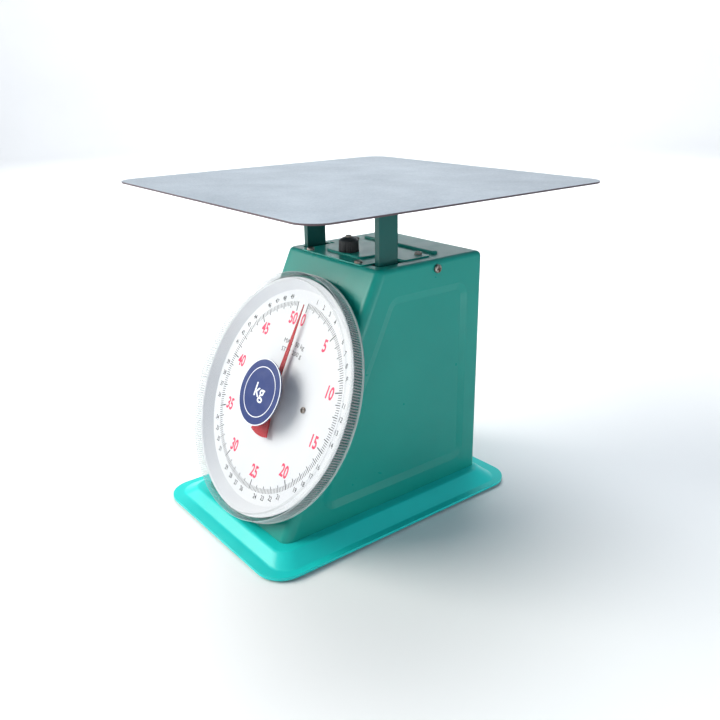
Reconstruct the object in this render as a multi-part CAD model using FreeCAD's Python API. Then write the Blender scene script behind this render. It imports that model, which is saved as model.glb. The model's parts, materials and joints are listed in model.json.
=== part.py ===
"""Mechanical dial platform scale, 50 kg, with its spring, link, rack and pointer works.

Millimetres. +Z is up and the floor is z = 0. The dial looks towards -Y. The origin is the
bottom centre of the whole scale's box.
"""
import FreeCAD
import Part
import math
import os

from FreeCAD import Placement, Rotation, Vector

# ---- fasteners, as (thread radius, head radius, head height) ----
M3 = (1.5, 3.0, 1.8)
M4 = (2.0, 3.8, 2.4)
M5 = (2.5, 4.5, 2.6)
M4_WIDE = (2.0, 4.2, 2.8)
M3_HOLE = 1.6
M4_HOLE = 2.1
M5_HOLE = 2.6
TAPPED_M3 = 1.55
TAPPED_M4 = 2.05
M5_NUT = (8.0, 4.0)         # across flats, height
PAST = 3.0                  # how far a cut runs past the sheet it goes through

# ---- base pan and feet ----
FOOT_PROUD = 2.5            # rubber showing below the pan's rim
FOOT_RADIUS = 9.0
FOOT_X = 70.0
FOOT_Y = 112.0              # from the pan's centre
PAN_WIDTH = 212.0
PAN_DEPTH = 300.0
PAN_CENTRE_Y = -19.5
PAN_CORNER = 26.0
PAN_FOOT_CORNER = 19.0      # at the foot of the slope
PAN_DECK_CORNER = 14.0
PAN_FOOT_BEND = 3.0
PAN_DECK_BEND = 5.0
PAN_SHEET = 1.2
PAN_RIM_HEIGHT = 2.6
PAN_RISE = 11.3             # floor of the rim to the raised deck
PAN_RIM_INSET_X = 7.0       # edge to the foot of the slope
PAN_RIM_INSET_Y = 12.0
PAN_DECK_INSET_X = 23.0     # edge to the top of the slope
PAN_DECK_INSET_Y = 22.0
PAN_FLOOR_Z = FOOT_PROUD
DECK_Z = FOOT_PROUD + PAN_RISE
BASE_SCREW_X = 58.0
SHELL_SCREW_Y = -92.0
CHASSIS_SCREW_Y = (30.0, 78.0)

# ---- pressed body shell ----
SHELL_HALF_WIDTH = 73.25
SHELL_SHEET = 1.0
SHELL_TOP_Z = 247.1
SHELL_BACK_Y = 105.5
SHELL_FRONT_TOP_Y = -24.7
SHELL_FRONT_BOTTOM_Y = -136.9
SHELL_FACE_BEND = 9.0       # bend between the dial face and the sides
SHELL_TOP_BEND = 5.0
SHELL_REAR_BEND = 4.0
SHELL_FLANGE = 20.0         # turned-in foot that is screwed to the pan
SHELL_FLANGE_CORNER = 8.0
PANEL_DEPTH = 2.0           # pressed-in side panel
PANEL_BEVEL = 7.5           # width of the panel's sloping border
PANEL_CORNER = 7.0
PANEL_Z = (30.5, 220.5)
PANEL_REAR_Y = 86.5
PANEL_FRONT_TOP_Y = -10.1
SHELL_HEIGHT = SHELL_TOP_Z - DECK_Z
FACE_RUN = SHELL_FRONT_TOP_Y - SHELL_FRONT_BOTTOM_Y
FACE_TILT = math.degrees(math.atan2(FACE_RUN, SHELL_HEIGHT))
FACE_SLOPE = math.tan(math.radians(FACE_TILT))
TOP_OPENING_X = 61.0
TOP_OPENING_Y = (-15.0, 16.0)
TOP_OPENING_CORNER = 3.0
SPINDLE_OPENING_RADIUS = 13.0
BEAD_Y = 62.0               # raised bead across the top, behind the cover plate
BEAD_HALF_LENGTH = 54.0
BEAD_RADIUS = 3.6
BEAD_HEIGHT = 2.6
REAR_OPENING = (52.0, 44.0, 222.0)   # half width, low z, high z
REAR_OPENING_CORNER = 6.0
REAR_COVER = (61.0, 34.0, 232.0)
REAR_COVER_CORNER = 8.0
REAR_COVER_SHEET = 1.0
REAR_SCREW_INSET = 5.0
SIDE_BOSS_RADIUS = 3.2
SIDE_SCREW = (45.0, 238.8)  # y and z

# ---- dial, measured from the centre of the dial on the sloping face ----
DIAL_Z = 121.1
DIAL_Y = SHELL_FRONT_BOTTOM_Y + (DIAL_Z - DECK_Z) * FACE_SLOPE
PAN_RING_RADIUS = 119.4
DIAL_PAN_FLOOR_RADIUS = 110.0
DIAL_PAN_WALL_RADIUS = 116.0
DIAL_PAN_SHEET = 1.0
DIAL_PAN_HEIGHT = 8.2
DIAL_PAN_HOLE_RADIUS = 8.0
DIAL_PLATE_RADIUS = 104.0
DIAL_PLATE_HOLE_RADIUS = 4.0
DIAL_PLATE_FRONT = 7.3
DIAL_PLATE_SHEET = 0.8
DIAL_LIP_RADIUS = 114.4
DIAL_LIP_HEIGHT = 15.8
DIAL_LIP_WIDTH = 2.6
DIAL_SPACER_RADIUS = 4.0
DIAL_SCREW_X = 45.2
LENS_FLANGE_RADIUS = 119.7
LENS_INNER_RADIUS = 115.6
LENS_WALL = 1.8
LENS_RIB_ROOT = 117.4
LENS_RIB_TIP = 118.5
LENS_RIB_COUNT = 300
LENS_RIBS = (9.4, 20.2)     # depth where the ribs start and end
LENS_RIM_FRONT = 21.4
LENS_WINDOW_RADIUS = 112.0
LENS_WINDOW_EDGE = 24.6
LENS_BADGE_FLAT_RADIUS = 34.0
LENS_DOME_RADIUS = 72.0     # ring where the window has dropped by LENS_DOME_DROP
LENS_DOME_DROP = 0.7
LENS_CENTRE_FRONT = 26.5
BADGE_RADIUS = 32.0
BADGE_THICKNESS = 1.2
BADGE_CHAMFER = 0.4
POINTER_BACK = 12.0
POINTER_SHEET = 0.8
POINTER_LENGTH = 90.4
POINTER_ZERO_ANGLE = 1.1    # clockwise from straight up, over the dial's zero mark
POINTER_TAIL_RADIUS = 41.0
POINTER_TAIL_HALF_ANGLE = 20.0
POINTER_HALF_WIDTHS = ((0.0, 4.2), (30.0, 2.9), (55.0, 2.0), (POINTER_LENGTH, 0.3))
POINTER_HUB_RADIUS = 8.0
COLLET_RADIUS = 3.0
COLLET_FLANGE_RADIUS = 5.0
COLLET_FLANGE = 2.0

# ---- pointer works behind the face ----
SPINDLE_RADIUS = 1.5
SPINDLE_FRONT = 17.0
SPINDLE_BACK = -37.0
FRONT_PLATE = (-10.0, -8.0)  # depth of the works' front plate
REAR_PLATE = (-36.0, -34.0)
WORKS_PLATE_X = (-28.0, 28.0)
WORKS_PLATE_Y = (-34.0, 34.0)
WORKS_POST_X = 22.0
WORKS_POST_Y = 28.0
WORKS_POST_RADIUS = 4.0
WORKS_PLATE_CORNER = 6.0
BUSH_RADIUS = 3.5
BUSH_FLANGE_RADIUS = 5.0
RUNNING_GAP = 0.05
GEAR_MODULE = 0.5
PINION_TEETH = 12
PRESSURE_ANGLE = math.radians(20.0)
BACKLASH = 0.06
PINION_RADIUS = GEAR_MODULE * PINION_TEETH / 2.0
PINION_TIP = PINION_RADIUS + 0.4
PINION_ROOT = PINION_RADIUS - 0.6
PINION_DEPTH = (-25.0, -19.0)
RACK_DEPTH = (-24.0, -20.0)
RACK_TIP_X = PINION_RADIUS - 0.35
RACK_ROOT_X = PINION_RADIUS + 0.5
RACK_BACK_X = 8.5
RACK_TEETH_Y = (-5.0, 24.0)
RACK_TOP_Y = 34.0
LUG_X = (4.5, 8.5)
LUG_Y = (-65.0, -51.0)
LUG_DEPTH = (-33.0, -10.0)
DRIVE_PIN_RADIUS = 2.0
DRIVE_PIN_Y = -58.0
DRIVE_PIN_DEPTH = -17.0
GUIDE_GAP = 0.1
LOWER_GUIDE = (-1.5, -26.0, -14.0)   # left edge, low y, high y
UPPER_GUIDE = (5.0, 6.0, 14.0)
GUIDE_RIGHT_X = 14.0
GUIDE_FRONT = RACK_DEPTH[1] + 3.0

# ---- load carriage ----
TRAVEL = 20.34              # platform travel from empty to 50 kg
WORKS_Y = -2.0              # posts, springs and zero knob stand in this plane
PLATFORM_SIZE = 330.0
PLATFORM_CENTRE_Y = 4.5
PLATFORM_TOP_Z = 316.5
PLATFORM_SHEET = 1.5
PLATFORM_CORNER = 21.0
PAD_HEIGHT = 2.5
PAD_RADIUS = 10.0
RAIL_X = 85.0
RAIL_HALF_WIDTH = 10.0
RAIL_HALF_LENGTH = 125.0
RAIL_HEIGHT = 5.0
RAIL_CORNER = 6.0
STUD_Y = 112.0
STUD_LENGTH_BELOW = 7.0
CROSSMEMBER_HEIGHT = 6.0
CROSSMEMBER_END = 12.0      # past the middle of the rail
POST_X = (53.0, 59.0)
POST_MIDDLE_X = sum(POST_X) / 2.0
POST_HALF_DEPTH = 11.0
POST_SCREW_Y = (WORKS_Y - 6.0, WORKS_Y + 6.0)
POST_SCREW_DEPTH = 12.0
POST_BOTTOM_Z = 44.0
BEAM_Y = (-8.0, 4.0)        # lower beam between the posts
BEAM_TOP_Z = 60.0
BEAM_SCREW_Z = (POST_BOTTOM_Z + 4.0, BEAM_TOP_Z - 4.0)
BEAM_SCREW_LENGTH = 12.0
BRACKET_SHEET = 3.0         # drive arm and damper bracket
BRACKET_SCREW_Z = 52.0
BRACKET_FOOT_Z = (46.0, 58.0)
ARM_SCREW_X = (18.0, 32.0)
ARM_FOOT_END_X = 36.0
SPRING_X = 25.0
SPRING_WIRE_RADIUS = 1.6
SPRING_COIL_RADIUS = 9.4    # to the middle of the wire
SPRING_BOTTOM_Z = 90.0
SPRING_TOP_Z = 208.0
SPRING_PITCH = 4.0
PLUG_RADIUS = SPRING_COIL_RADIUS - SPRING_WIRE_RADIUS - 0.2
PLUG_LENGTH = 14.0
PLUG_STEM_RADIUS = 3.0
PLUG_STEM_BOTTOM_Z = POST_BOTTOM_Z + 8.0
ARM_X = (9.5, 12.5)         # plate that carries the rack's drive pin

# ---- parallel links ----
LINK_REACH = 70.0           # carriage pin to frame rod, along Y
LINK_PIN_Z = {"upper": 200.0, "lower": 75.0}
LINK_PIN_RADIUS = 3.0
PIN_TAIL_RADIUS = 2.5
LINK_ROD_RADIUS = 4.0
LINK_TUBE_RADIUS = 6.5
LINK_TUBE_HALF_LENGTH = 58.0
LINK_ARM_X = (40.0, 43.0)
LINK_ARM_HALF_WIDTH = 6.0
LINK_SLOT_GAP = 0.1
LINK_BRACE_AT = (40.0, 46.0)  # distance from the rod
LINK_BRACE_HALF_SHEET = 1.5
ROD_TAIL_RADIUS = 3.0
ROD_HEAD_RADIUS = 4.5
ROD_HEAD = 1.4

# ---- chassis, zero adjustment and damper ----
CHASSIS_X = (63.5, 65.5)
CHASSIS_TOP_Z = 244.0
CHASSIS_SHEET = 2.5
CHASSIS_TOP_Y = (-20.0, 82.0)
CHASSIS_FOOT_Y = (12.0, 92.0)
CHASSIS_BRIDGE_Y = (-20.0, 16.0)     # top plate between the sides
CHASSIS_WINDOW = ((0.0, 180.0), (14.0, 95.0), (54.0, 95.0), (54.0, 180.0))
CHASSIS_WINDOW_CORNER = 8.0
CHASSIS_FLANGE_X = 53.0
CHASSIS_FLANGE_Y = (16.0, 88.0)
POST_PASSAGE_GAP = (1.5, 2.0)        # clear of the posts, across and along
HANGER_Z = (212.0, 220.0)
HANGER_HALF_LENGTH = 37.0
HANGER_HALF_DEPTH = 8.0
HANGER_CORNER = 4.0
GUIDE_PIN_BOTTOM_Z = 205.0
STOP_X = 30.0
STOP_RADIUS = 7.0
STOP_GAP = 0.6              # left under the posts' beam at full load
GUIDE_PIN_X = 10.0
GUIDE_PIN_RADIUS = 2.5
ZERO_SCREW_RADIUS = 3.0
ZERO_SCREW_BOTTOM_Z = 205.0
ZERO_COLLAR = (7.0, 2.0)    # radius, height
ZERO_CLIP = (5.5, 1.2)
ZERO_PLAY = 0.1
KNOB_BOTTOM_Z = 250.5
KNOB_HEIGHT = 10.6
KNOB_DOME = 3.0
KNOB_TIP_RADIUS = 9.8
KNOB_ROOT_RADIUS = 9.2
KNOB_FLUTES = 36
KNOB_DOME_FLAT_RADIUS = 4.6
KNOB_SCREW_LENGTH = 10.0
COVER_SHEET = 1.2
COVER_FRONT_HALF = 48.0     # half width between the posts
COVER_REAR_HALF = 59.0      # half width behind the posts
COVER_Y = (-24.4, 50.0)
COVER_REAR_Y = (17.5, 50.0)
COVER_CORNER = 3.0
COVER_STEP_HALF = 29.0
COVER_STEP_Y = (-10.5, 38.0)
COVER_STEP_CORNER = 8.0
COVER_STEP_HEIGHT = 1.8
COVER_SCREW_X = {"front": 38.0, "rear": 48.0}
COVER_SCREW_Y = {"front": -20.4, "rear": 44.0}
COVER_SCREW_LENGTH = 4.0
SCREW_PASSAGE_RADIUS = 5.0  # hole that the zero screw passes
DAMPER = (-28.0, -40.0)     # x and y
DAMPER_RADIUS = 14.0
DAMPER_BORE = 12.0
DAMPER_TOP_Z = 55.0
DAMPER_FLOOR = 3.0
DAMPER_CAP = 2.0
DAMPER_BRACKET_X = (-37.0, -14.0)
DAMPER_SCREW_X = (-18.0, -33.0)
DAMPER_SHELF_Z = (80.0, 83.0)
DAMPER_ROD_RADIUS = 2.5
DAMPER_PISTON_Z = (40.0, 44.0)
DAMPER_PISTON_GAP = 0.35

DIAL_PLACEMENT = Placement(Vector(0, DIAL_Y, DIAL_Z), Rotation(Vector(1, 0, 0), 90.0 - FACE_TILT))


# ---- shape helpers ----
def box(x, y, z):
    """A box between two corners, each argument a (low, high) pair."""
    low = Vector(x[0], y[0], z[0])
    return Part.makeBox(x[1] - x[0], y[1] - y[0], z[1] - z[0], low)


def mirrored_pair(low, high):
    """The (low, high) pair on the +X side and its twin on the -X side."""
    return [(low, high), (-high, -low)]


def rod(radius, start, end):
    start, end = Vector(*start), Vector(*end)
    return Part.makeCylinder(radius, (end - start).Length, start, end - start)


def tube(outer, inner, start, end):
    return rod(outer, start, end).cut(rod(inner, start, end))


def rounded_wire(points, radius):
    """A closed outline through 3-D points with every corner rounded."""
    corners = []
    for i, point in enumerate(points):
        corner = Vector(*point)
        before = (Vector(*points[i - 1]) - corner).normalize()
        after = (Vector(*points[(i + 1) % len(points)]) - corner).normalize()
        half = before.getAngle(after) / 2.0
        reach = radius / math.tan(half)
        middle = corner + (before + after).normalize() * (radius / math.sin(half) - radius)
        corners.append((corner + before * reach, middle, corner + after * reach))
    edges = []
    for i, (first, middle, last) in enumerate(corners):
        edges.append(Part.Arc(first, middle, last).toShape())
        edges.append(Part.makeLine(last, corners[(i + 1) % len(corners)][0]))
    return Part.Wire(edges)


def rectangle(x, y, z, radius):
    points = [(x[0], y[0], z), (x[1], y[0], z), (x[1], y[1], z), (x[0], y[1], z)]
    return rounded_wire(points, radius)


def slab(x, y, z, radius):
    """A flat plate with rounded corners, each argument a (low, high) pair."""
    return Part.Face(rectangle(x, y, z[0], radius)).extrude(Vector(0, 0, z[1] - z[0]))


def side_plate(points, x, radius):
    """A plate across X with a rounded outline of (y, z) points."""
    outline = rounded_wire([(x[0], y, z) for y, z in points], radius)
    return Part.Face(outline).extrude(Vector(x[1] - x[0], 0, 0))


def flat_shape(points, z):
    """A straight-edged outline of (x, y) points, as thick as the (low, high) pair z."""
    corners = [Vector(x, y, z[0]) for x, y in points]
    face = Part.Face(Part.makePolygon(corners + corners[:1]))
    return face.extrude(Vector(0, 0, z[1] - z[0]))


def turned(profile):
    """A solid of revolution about Z from (radius, height) points."""
    points = [Vector(radius, 0, height) for radius, height in profile]
    face = Part.Face(Part.makePolygon(points + points[:1]))
    return face.revolve(Vector(0, 0, 0), Vector(0, 0, 1), 360)


def star_points(count, root, tip):
    points = []
    for i in range(count):
        for radius, step in ((tip, 0.0), (root, 0.5)):
            angle = 2.0 * math.pi * (i + step) / count
            points.append((radius * math.cos(angle), radius * math.sin(angle)))
    return points


def placed(shape, position, axis):
    """The shape, made about +Z at the origin, moved so that +Z follows axis."""
    moved = shape.copy()
    moved.Placement = Placement(Vector(*position), Rotation(Vector(0, 0, 1), Vector(*axis)))
    return moved


def on_dial(shape):
    """The shape, made with +X right, +Y up the slope and +Z out of the face, set on the face."""
    moved = shape.copy()
    moved.Placement = DIAL_PLACEMENT.multiply(moved.Placement)
    return moved


def dial_point(x, y, depth):
    return DIAL_PLACEMENT.multVec(Vector(x, y, depth))


def screw(size, length):
    """A cross-recessed pan-head screw: head above z = 0, shank below."""
    radius, head_radius, head_height = size
    shank = rod(radius, (0, 0, -length), (0, 0, 0))
    head = rod(head_radius, (0, 0, 0), (0, 0, head_height))
    rim = [edge for edge in head.Edges if edge.BoundBox.ZMin > head_height / 2.0]
    head = head.makeFillet(head_height * 0.55, [e for e in rim if len(e.Vertexes) == 1])
    slot_width = head_radius * 0.28
    slot_reach = head_radius * 0.62
    slot_z = (head_height * 0.45, head_height + 1.0)
    cross = box((-slot_reach, slot_reach), (-slot_width / 2, slot_width / 2), slot_z)
    cross = cross.fuse(box((-slot_width / 2, slot_width / 2), (-slot_reach, slot_reach), slot_z))
    return shank.fuse(head.cut(cross)).removeSplitter()


def hex_nut(hole_radius, across_flats, height):
    """A plain hexagon nut standing on z = 0."""
    circumradius = across_flats / math.sqrt(3.0)
    corners = star_points(3, circumradius, circumradius)
    return flat_shape(corners, (0.0, height)).cut(rod(hole_radius, (0, 0, -1), (0, 0, height + 1)))


def save(name, solids):
    shape = Part.makeCompound(solids) if len(solids) > 1 else solids[0]
    shape.exportStep("parts/" + name + ".step")


# ---- base ----
def pan_form(inset, floor_z, top_z):
    """The pan's solid outer form, drawn in by inset on every side."""
    half_x = PAN_WIDTH / 2.0
    half_y = PAN_DEPTH / 2.0

    def outline(draw_x, draw_y, z, radius):
        x = (-half_x + draw_x + inset, half_x - draw_x - inset)
        y = (PAN_CENTRE_Y - half_y + draw_y + inset, PAN_CENTRE_Y + half_y - draw_y - inset)
        return rectangle(x, y, z, radius - inset)

    rim_z = top_z - PAN_RISE + PAN_RIM_HEIGHT
    rim = Part.Face(outline(0, 0, floor_z, PAN_CORNER)).extrude(Vector(0, 0, rim_z - floor_z))
    foot = outline(PAN_RIM_INSET_X, PAN_RIM_INSET_Y, rim_z, PAN_FOOT_CORNER)
    deck = outline(PAN_DECK_INSET_X, PAN_DECK_INSET_Y, top_z, PAN_DECK_CORNER)
    hill = Part.makeLoft([foot, deck], True, True)
    form = rim.fuse(hill).removeSplitter()
    form = form.makeFillet(PAN_DECK_BEND, level_edges(form, top_z))
    crease = [edge for edge in level_edges(form, rim_z) if inside_rim(edge, inset)]
    return form.makeFillet(PAN_FOOT_BEND, crease)


def level_edges(shape, z):
    """The shape's edges that lie flat at height z."""
    return [e for e in shape.Edges if abs(e.BoundBox.ZMin - z) < 0.01 and e.BoundBox.ZLength < 0.01]


def inside_rim(edge, inset):
    """True for an edge of the slope's foot, not of the pan's outer edge."""
    reach_x = PAN_WIDTH / 2.0 - inset - 1.0
    reach_y = PAN_DEPTH / 2.0 - inset - 1.0
    bounds = edge.BoundBox
    across = max(abs(bounds.XMin), abs(bounds.XMax)) < reach_x
    along = max(abs(bounds.YMin - PAN_CENTRE_Y), abs(bounds.YMax - PAN_CENTRE_Y)) < reach_y
    return across and along


def base_screw_spots():
    """(x, y, z under the nut) of each screw that holds the body and chassis to the pan."""
    spots = []
    for side in (-1, 1):
        spots.append((side * BASE_SCREW_X, SHELL_SCREW_Y, DECK_Z + SHELL_SHEET))
        for y in CHASSIS_SCREW_Y:
            spots.append((side * BASE_SCREW_X, y, DECK_Z + SHELL_SHEET + CHASSIS_SHEET))
    return spots


def drilled_upwards(shape, spots, radius):
    for x, y, _ in spots:
        shape = shape.cut(rod(radius, (x, y, 0), (x, y, DECK_Z + 2 * PAST)))
    return shape


def make_base():
    outer = pan_form(0.0, PAN_FLOOR_Z, DECK_Z)
    hollow = pan_form(PAN_SHEET, PAN_FLOOR_Z - 5.0, DECK_Z - PAN_SHEET)
    pan = drilled_upwards(outer.cut(hollow), base_screw_spots(), M5_HOLE)
    save("base_pan", [pan])

    feet = []
    for side_x in (-1, 1):
        for side_y in (-1, 1):
            x = side_x * FOOT_X
            y = PAN_CENTRE_Y + side_y * FOOT_Y
            feet.append(rod(FOOT_RADIUS, (x, y, 0), (x, y, DECK_Z - PAN_SHEET)))
    save("rubber_feet", feet)

    screws = []
    nuts = []
    for x, y, nut_z in base_screw_spots():
        head_z = DECK_Z - PAN_SHEET
        length = nut_z + M5_NUT[1] + 1.0 - head_z
        screws.append(placed(screw(M5, length), (x, y, head_z), (0, 0, -1)))
        nuts.append(placed(hex_nut(M5[0], *M5_NUT), (x, y, nut_z), (0, 0, 1)))
    save("base_screws", screws)
    save("base_nuts", nuts)


# ---- body shell ----
def shell_form(inset, bottom_z):
    """The wedge-shaped body, drawn in by inset, with rounded bends."""
    half = SHELL_HALF_WIDTH - inset
    top = SHELL_TOP_Z - inset
    face_inset = inset / math.cos(math.radians(FACE_TILT))
    back = SHELL_BACK_Y - inset

    def face_y(z):
        return SHELL_FRONT_BOTTOM_Y + (z - DECK_Z) * FACE_SLOPE + face_inset

    corners = [(face_y(bottom_z), bottom_z), (face_y(top), top), (back, top), (back, bottom_z)]
    points = [Vector(-half, y, z) for y, z in corners]
    form = Part.Face(Part.makePolygon(points + points[:1])).extrude(Vector(2 * half, 0, 0))

    upright = [e for e in form.Edges if e.BoundBox.XLength < 0.01 and e.BoundBox.ZLength > SHELL_HEIGHT / 2.0]
    front = [e for e in upright if e.BoundBox.YLength > FACE_RUN / 2.0]
    rear = [e for e in upright if e.BoundBox.YLength < 0.01]
    form = form.makeFillet(SHELL_REAR_BEND - inset, rear)
    form = form.makeFillet(SHELL_FACE_BEND - inset, edges_like(form, front))
    top_edges = [e for e in form.Edges if e.BoundBox.ZMin > top - 0.01]
    return form.makeFillet(SHELL_TOP_BEND - inset, top_edges)


def edges_like(shape, wanted):
    """The shape's edges that run between the same heights, at the same side, as the wanted ones."""
    found = []
    for edge in shape.Edges:
        for other in wanted:
            same_side = abs(edge.BoundBox.XMin - other.BoundBox.XMin) < 0.01
            same_run = abs(edge.BoundBox.YLength - other.BoundBox.YLength) < 0.01
            if same_side and same_run and edge.BoundBox.XLength < 0.01:
                found.append(edge)
    return found


def panel_outline(x, draw, radius):
    """Outline of the pressed side panel at x, drawn in evenly by draw."""
    low_z = PANEL_Z[0] + draw
    high_z = PANEL_Z[1] - draw
    rear_y = PANEL_REAR_Y - draw
    along_face = draw / math.cos(math.radians(FACE_TILT)) - draw * FACE_SLOPE
    front_top_y = PANEL_FRONT_TOP_Y + along_face
    front_bottom_y = front_top_y - (high_z - low_z) * FACE_SLOPE
    points = [(front_bottom_y, low_z), (rear_y, low_z), (rear_y, high_z), (front_top_y, high_z)]
    return rounded_wire([(x, y, z) for y, z in points], radius)


def side_panel(inset, side):
    """The block that presses one side in, moved inwards by inset for the inside of the sheet."""
    face_x = side * (SHELL_HALF_WIDTH - inset)
    floor_x = face_x - side * PANEL_DEPTH
    outer = panel_outline(face_x, -inset, 2 * PANEL_CORNER)
    inner = panel_outline(floor_x, PANEL_BEVEL - inset, PANEL_CORNER)
    return Part.makeLoft([outer, inner], True, True)


def top_bead(radius, height):
    """A raised bead across the top, a half-round-ended bar with a soft upper edge."""
    x = BEAD_HALF_LENGTH - BEAD_RADIUS
    bar = box((-x, x), (BEAD_Y - radius, BEAD_Y + radius), (SHELL_TOP_Z - 2.0, SHELL_TOP_Z + height))
    for end in (-x, x):
        bar = bar.fuse(rod(radius, (end, BEAD_Y, SHELL_TOP_Z - 2.0), (end, BEAD_Y, SHELL_TOP_Z + height)))
    bar = bar.removeSplitter()
    upper = [e for e in bar.Edges if e.BoundBox.ZMin > SHELL_TOP_Z + height - 0.01]
    return bar.makeFillet(min(radius, height) * 0.6, upper)


def make_shell():
    outer = shell_form(0.0, DECK_Z)
    hollow = shell_form(SHELL_SHEET, DECK_Z - 5.0)
    for side in (-1, 1):
        outer = outer.cut(side_panel(0.0, side))
        hollow = hollow.cut(side_panel(SHELL_SHEET, side))
    outer = outer.fuse(top_bead(BEAD_RADIUS, BEAD_HEIGHT))
    hollow = hollow.fuse(top_bead(BEAD_RADIUS - SHELL_SHEET, BEAD_HEIGHT - SHELL_SHEET))
    flange_hole = slab(
        (-SHELL_HALF_WIDTH + SHELL_FLANGE, SHELL_HALF_WIDTH - SHELL_FLANGE),
        (SHELL_FRONT_BOTTOM_Y + SHELL_FLANGE, SHELL_BACK_Y - SHELL_FLANGE),
        (DECK_Z - PAST, DECK_Z + SHELL_SHEET + PAST), SHELL_FLANGE_CORNER)
    above_flange = box((-200, 200), (-300, 300), (DECK_Z + SHELL_SHEET, SHELL_TOP_Z + 20.0))
    shell = outer.cut(hollow.common(above_flange)).cut(flange_hole)
    shell = shell.cut(slab((-TOP_OPENING_X, TOP_OPENING_X), TOP_OPENING_Y,
                           (SHELL_TOP_Z - PAST, SHELL_TOP_Z + PAST), TOP_OPENING_CORNER))
    rear_y = (SHELL_BACK_Y - PAST, SHELL_BACK_Y + PAST)
    shell = shell.cut(rear_plate(REAR_OPENING, rear_y, REAR_OPENING_CORNER))
    shell = shell.cut(on_dial(rod(SPINDLE_OPENING_RADIUS, (0, 0, -PAST), (0, 0, PAST))))
    for x, y in works_posts():
        shell = shell.cut(on_dial(rod(M3_HOLE, (x, y, -PAST), (x, y, PAST))))
    for x, y in cover_screw_spots():
        shell = shell.cut(rod(M4_HOLE, (x, y, SHELL_TOP_Z - PAST), (x, y, SHELL_TOP_Z + PAST)))
    for x, z in rear_screw_spots():
        shell = shell.cut(rod(M4_HOLE, (x, rear_y[0], z), (x, rear_y[1], z)))
    y, z = SIDE_SCREW
    reach = SHELL_HALF_WIDTH + PAST
    shell = shell.cut(rod(M4_HOLE, (-reach, y, z), (reach, y, z)))
    shell = drilled_upwards(shell, base_screw_spots(), M5_HOLE)
    save("body_shell", [shell])

    bosses = []
    screws = []
    for side in (-1, 1):
        wall = side * (SHELL_HALF_WIDTH - SHELL_SHEET)
        bosses.append(tube(SIDE_BOSS_RADIUS, TAPPED_M4, (side * CHASSIS_X[1], y, z), (wall, y, z)))
        screws.append(placed(screw(M4_WIDE, 7.0), (side * SHELL_HALF_WIDTH, y, z), (side, 0, 0)))
    save("side_bosses", bosses)
    save("side_screws", screws)


def rear_plate(size, y, corner):
    """An upright plate across Y, its size a (half width, low z, high z)."""
    half, low, high = size
    points = [(-half, y[0], low), (half, y[0], low), (half, y[0], high), (-half, y[0], high)]
    return Part.Face(rounded_wire(points, corner)).extrude(Vector(0, y[1] - y[0], 0))


def rear_screw_spots():
    half, low, high = REAR_COVER
    rows = (low + REAR_SCREW_INSET, (low + high) / 2.0, high - REAR_SCREW_INSET)
    return [(side * (half - REAR_SCREW_INSET), z) for side in (-1, 1) for z in rows]


def make_rear_cover():
    outer_y = SHELL_BACK_Y + REAR_COVER_SHEET
    cover = rear_plate(REAR_COVER, (SHELL_BACK_Y, outer_y), REAR_COVER_CORNER)
    screws = []
    for x, z in rear_screw_spots():
        cover = cover.cut(rod(M4_HOLE, (x, SHELL_BACK_Y - PAST, z), (x, outer_y + PAST, z)))
        screws.append(placed(screw(M4, 6.0), (x, outer_y, z), (0, 1, 0)))
    save("rear_cover", [cover])
    save("rear_cover_screws", screws)


# ---- top cover plate ----
def cover_screw_spots():
    spots = []
    for row in ("front", "rear"):
        for side in (-1, 1):
            spots.append((side * COVER_SCREW_X[row], COVER_SCREW_Y[row]))
    return spots


def cover_step(sheet_top, inset):
    """The plate's raised step around the zero knob, drawn in by inset."""
    half = COVER_STEP_HALF - inset
    y = (COVER_STEP_Y[0] + inset, COVER_STEP_Y[1] - inset)
    step_top = sheet_top + COVER_STEP_HEIGHT
    step = slab((-half, half), y, (SHELL_TOP_Z - 1.0, step_top), COVER_STEP_CORNER - inset)
    return step.makeFillet(1.0, level_edges(step, step_top))


def make_top_cover():
    top_z = SHELL_TOP_Z + COVER_SHEET
    sheet_z = (SHELL_TOP_Z, top_z)
    above_shell = box((-100, 100), (-100, 100), (SHELL_TOP_Z, SHELL_TOP_Z + 20.0))
    plate = slab((-COVER_FRONT_HALF, COVER_FRONT_HALF), COVER_Y, sheet_z, COVER_CORNER)
    plate = plate.fuse(slab((-COVER_REAR_HALF, COVER_REAR_HALF), COVER_REAR_Y, sheet_z, COVER_CORNER))
    plate = plate.fuse(cover_step(top_z, 0.0).common(above_shell))
    plate = plate.cut(cover_step(top_z - COVER_SHEET, COVER_SHEET)).removeSplitter()
    passage = rod(SCREW_PASSAGE_RADIUS, (0, WORKS_Y, SHELL_TOP_Z), (0, WORKS_Y, SHELL_TOP_Z + 20.0))
    plate = plate.cut(passage)
    screws = []
    for x, y in cover_screw_spots():
        plate = plate.cut(rod(M4_HOLE, (x, y, SHELL_TOP_Z - PAST), (x, y, top_z + PAST)))
        screws.append(placed(screw(M4, COVER_SCREW_LENGTH), (x, y, top_z), (0, 0, 1)))
    save("top_cover_plate", [plate])
    save("top_cover_screws", screws)


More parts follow.
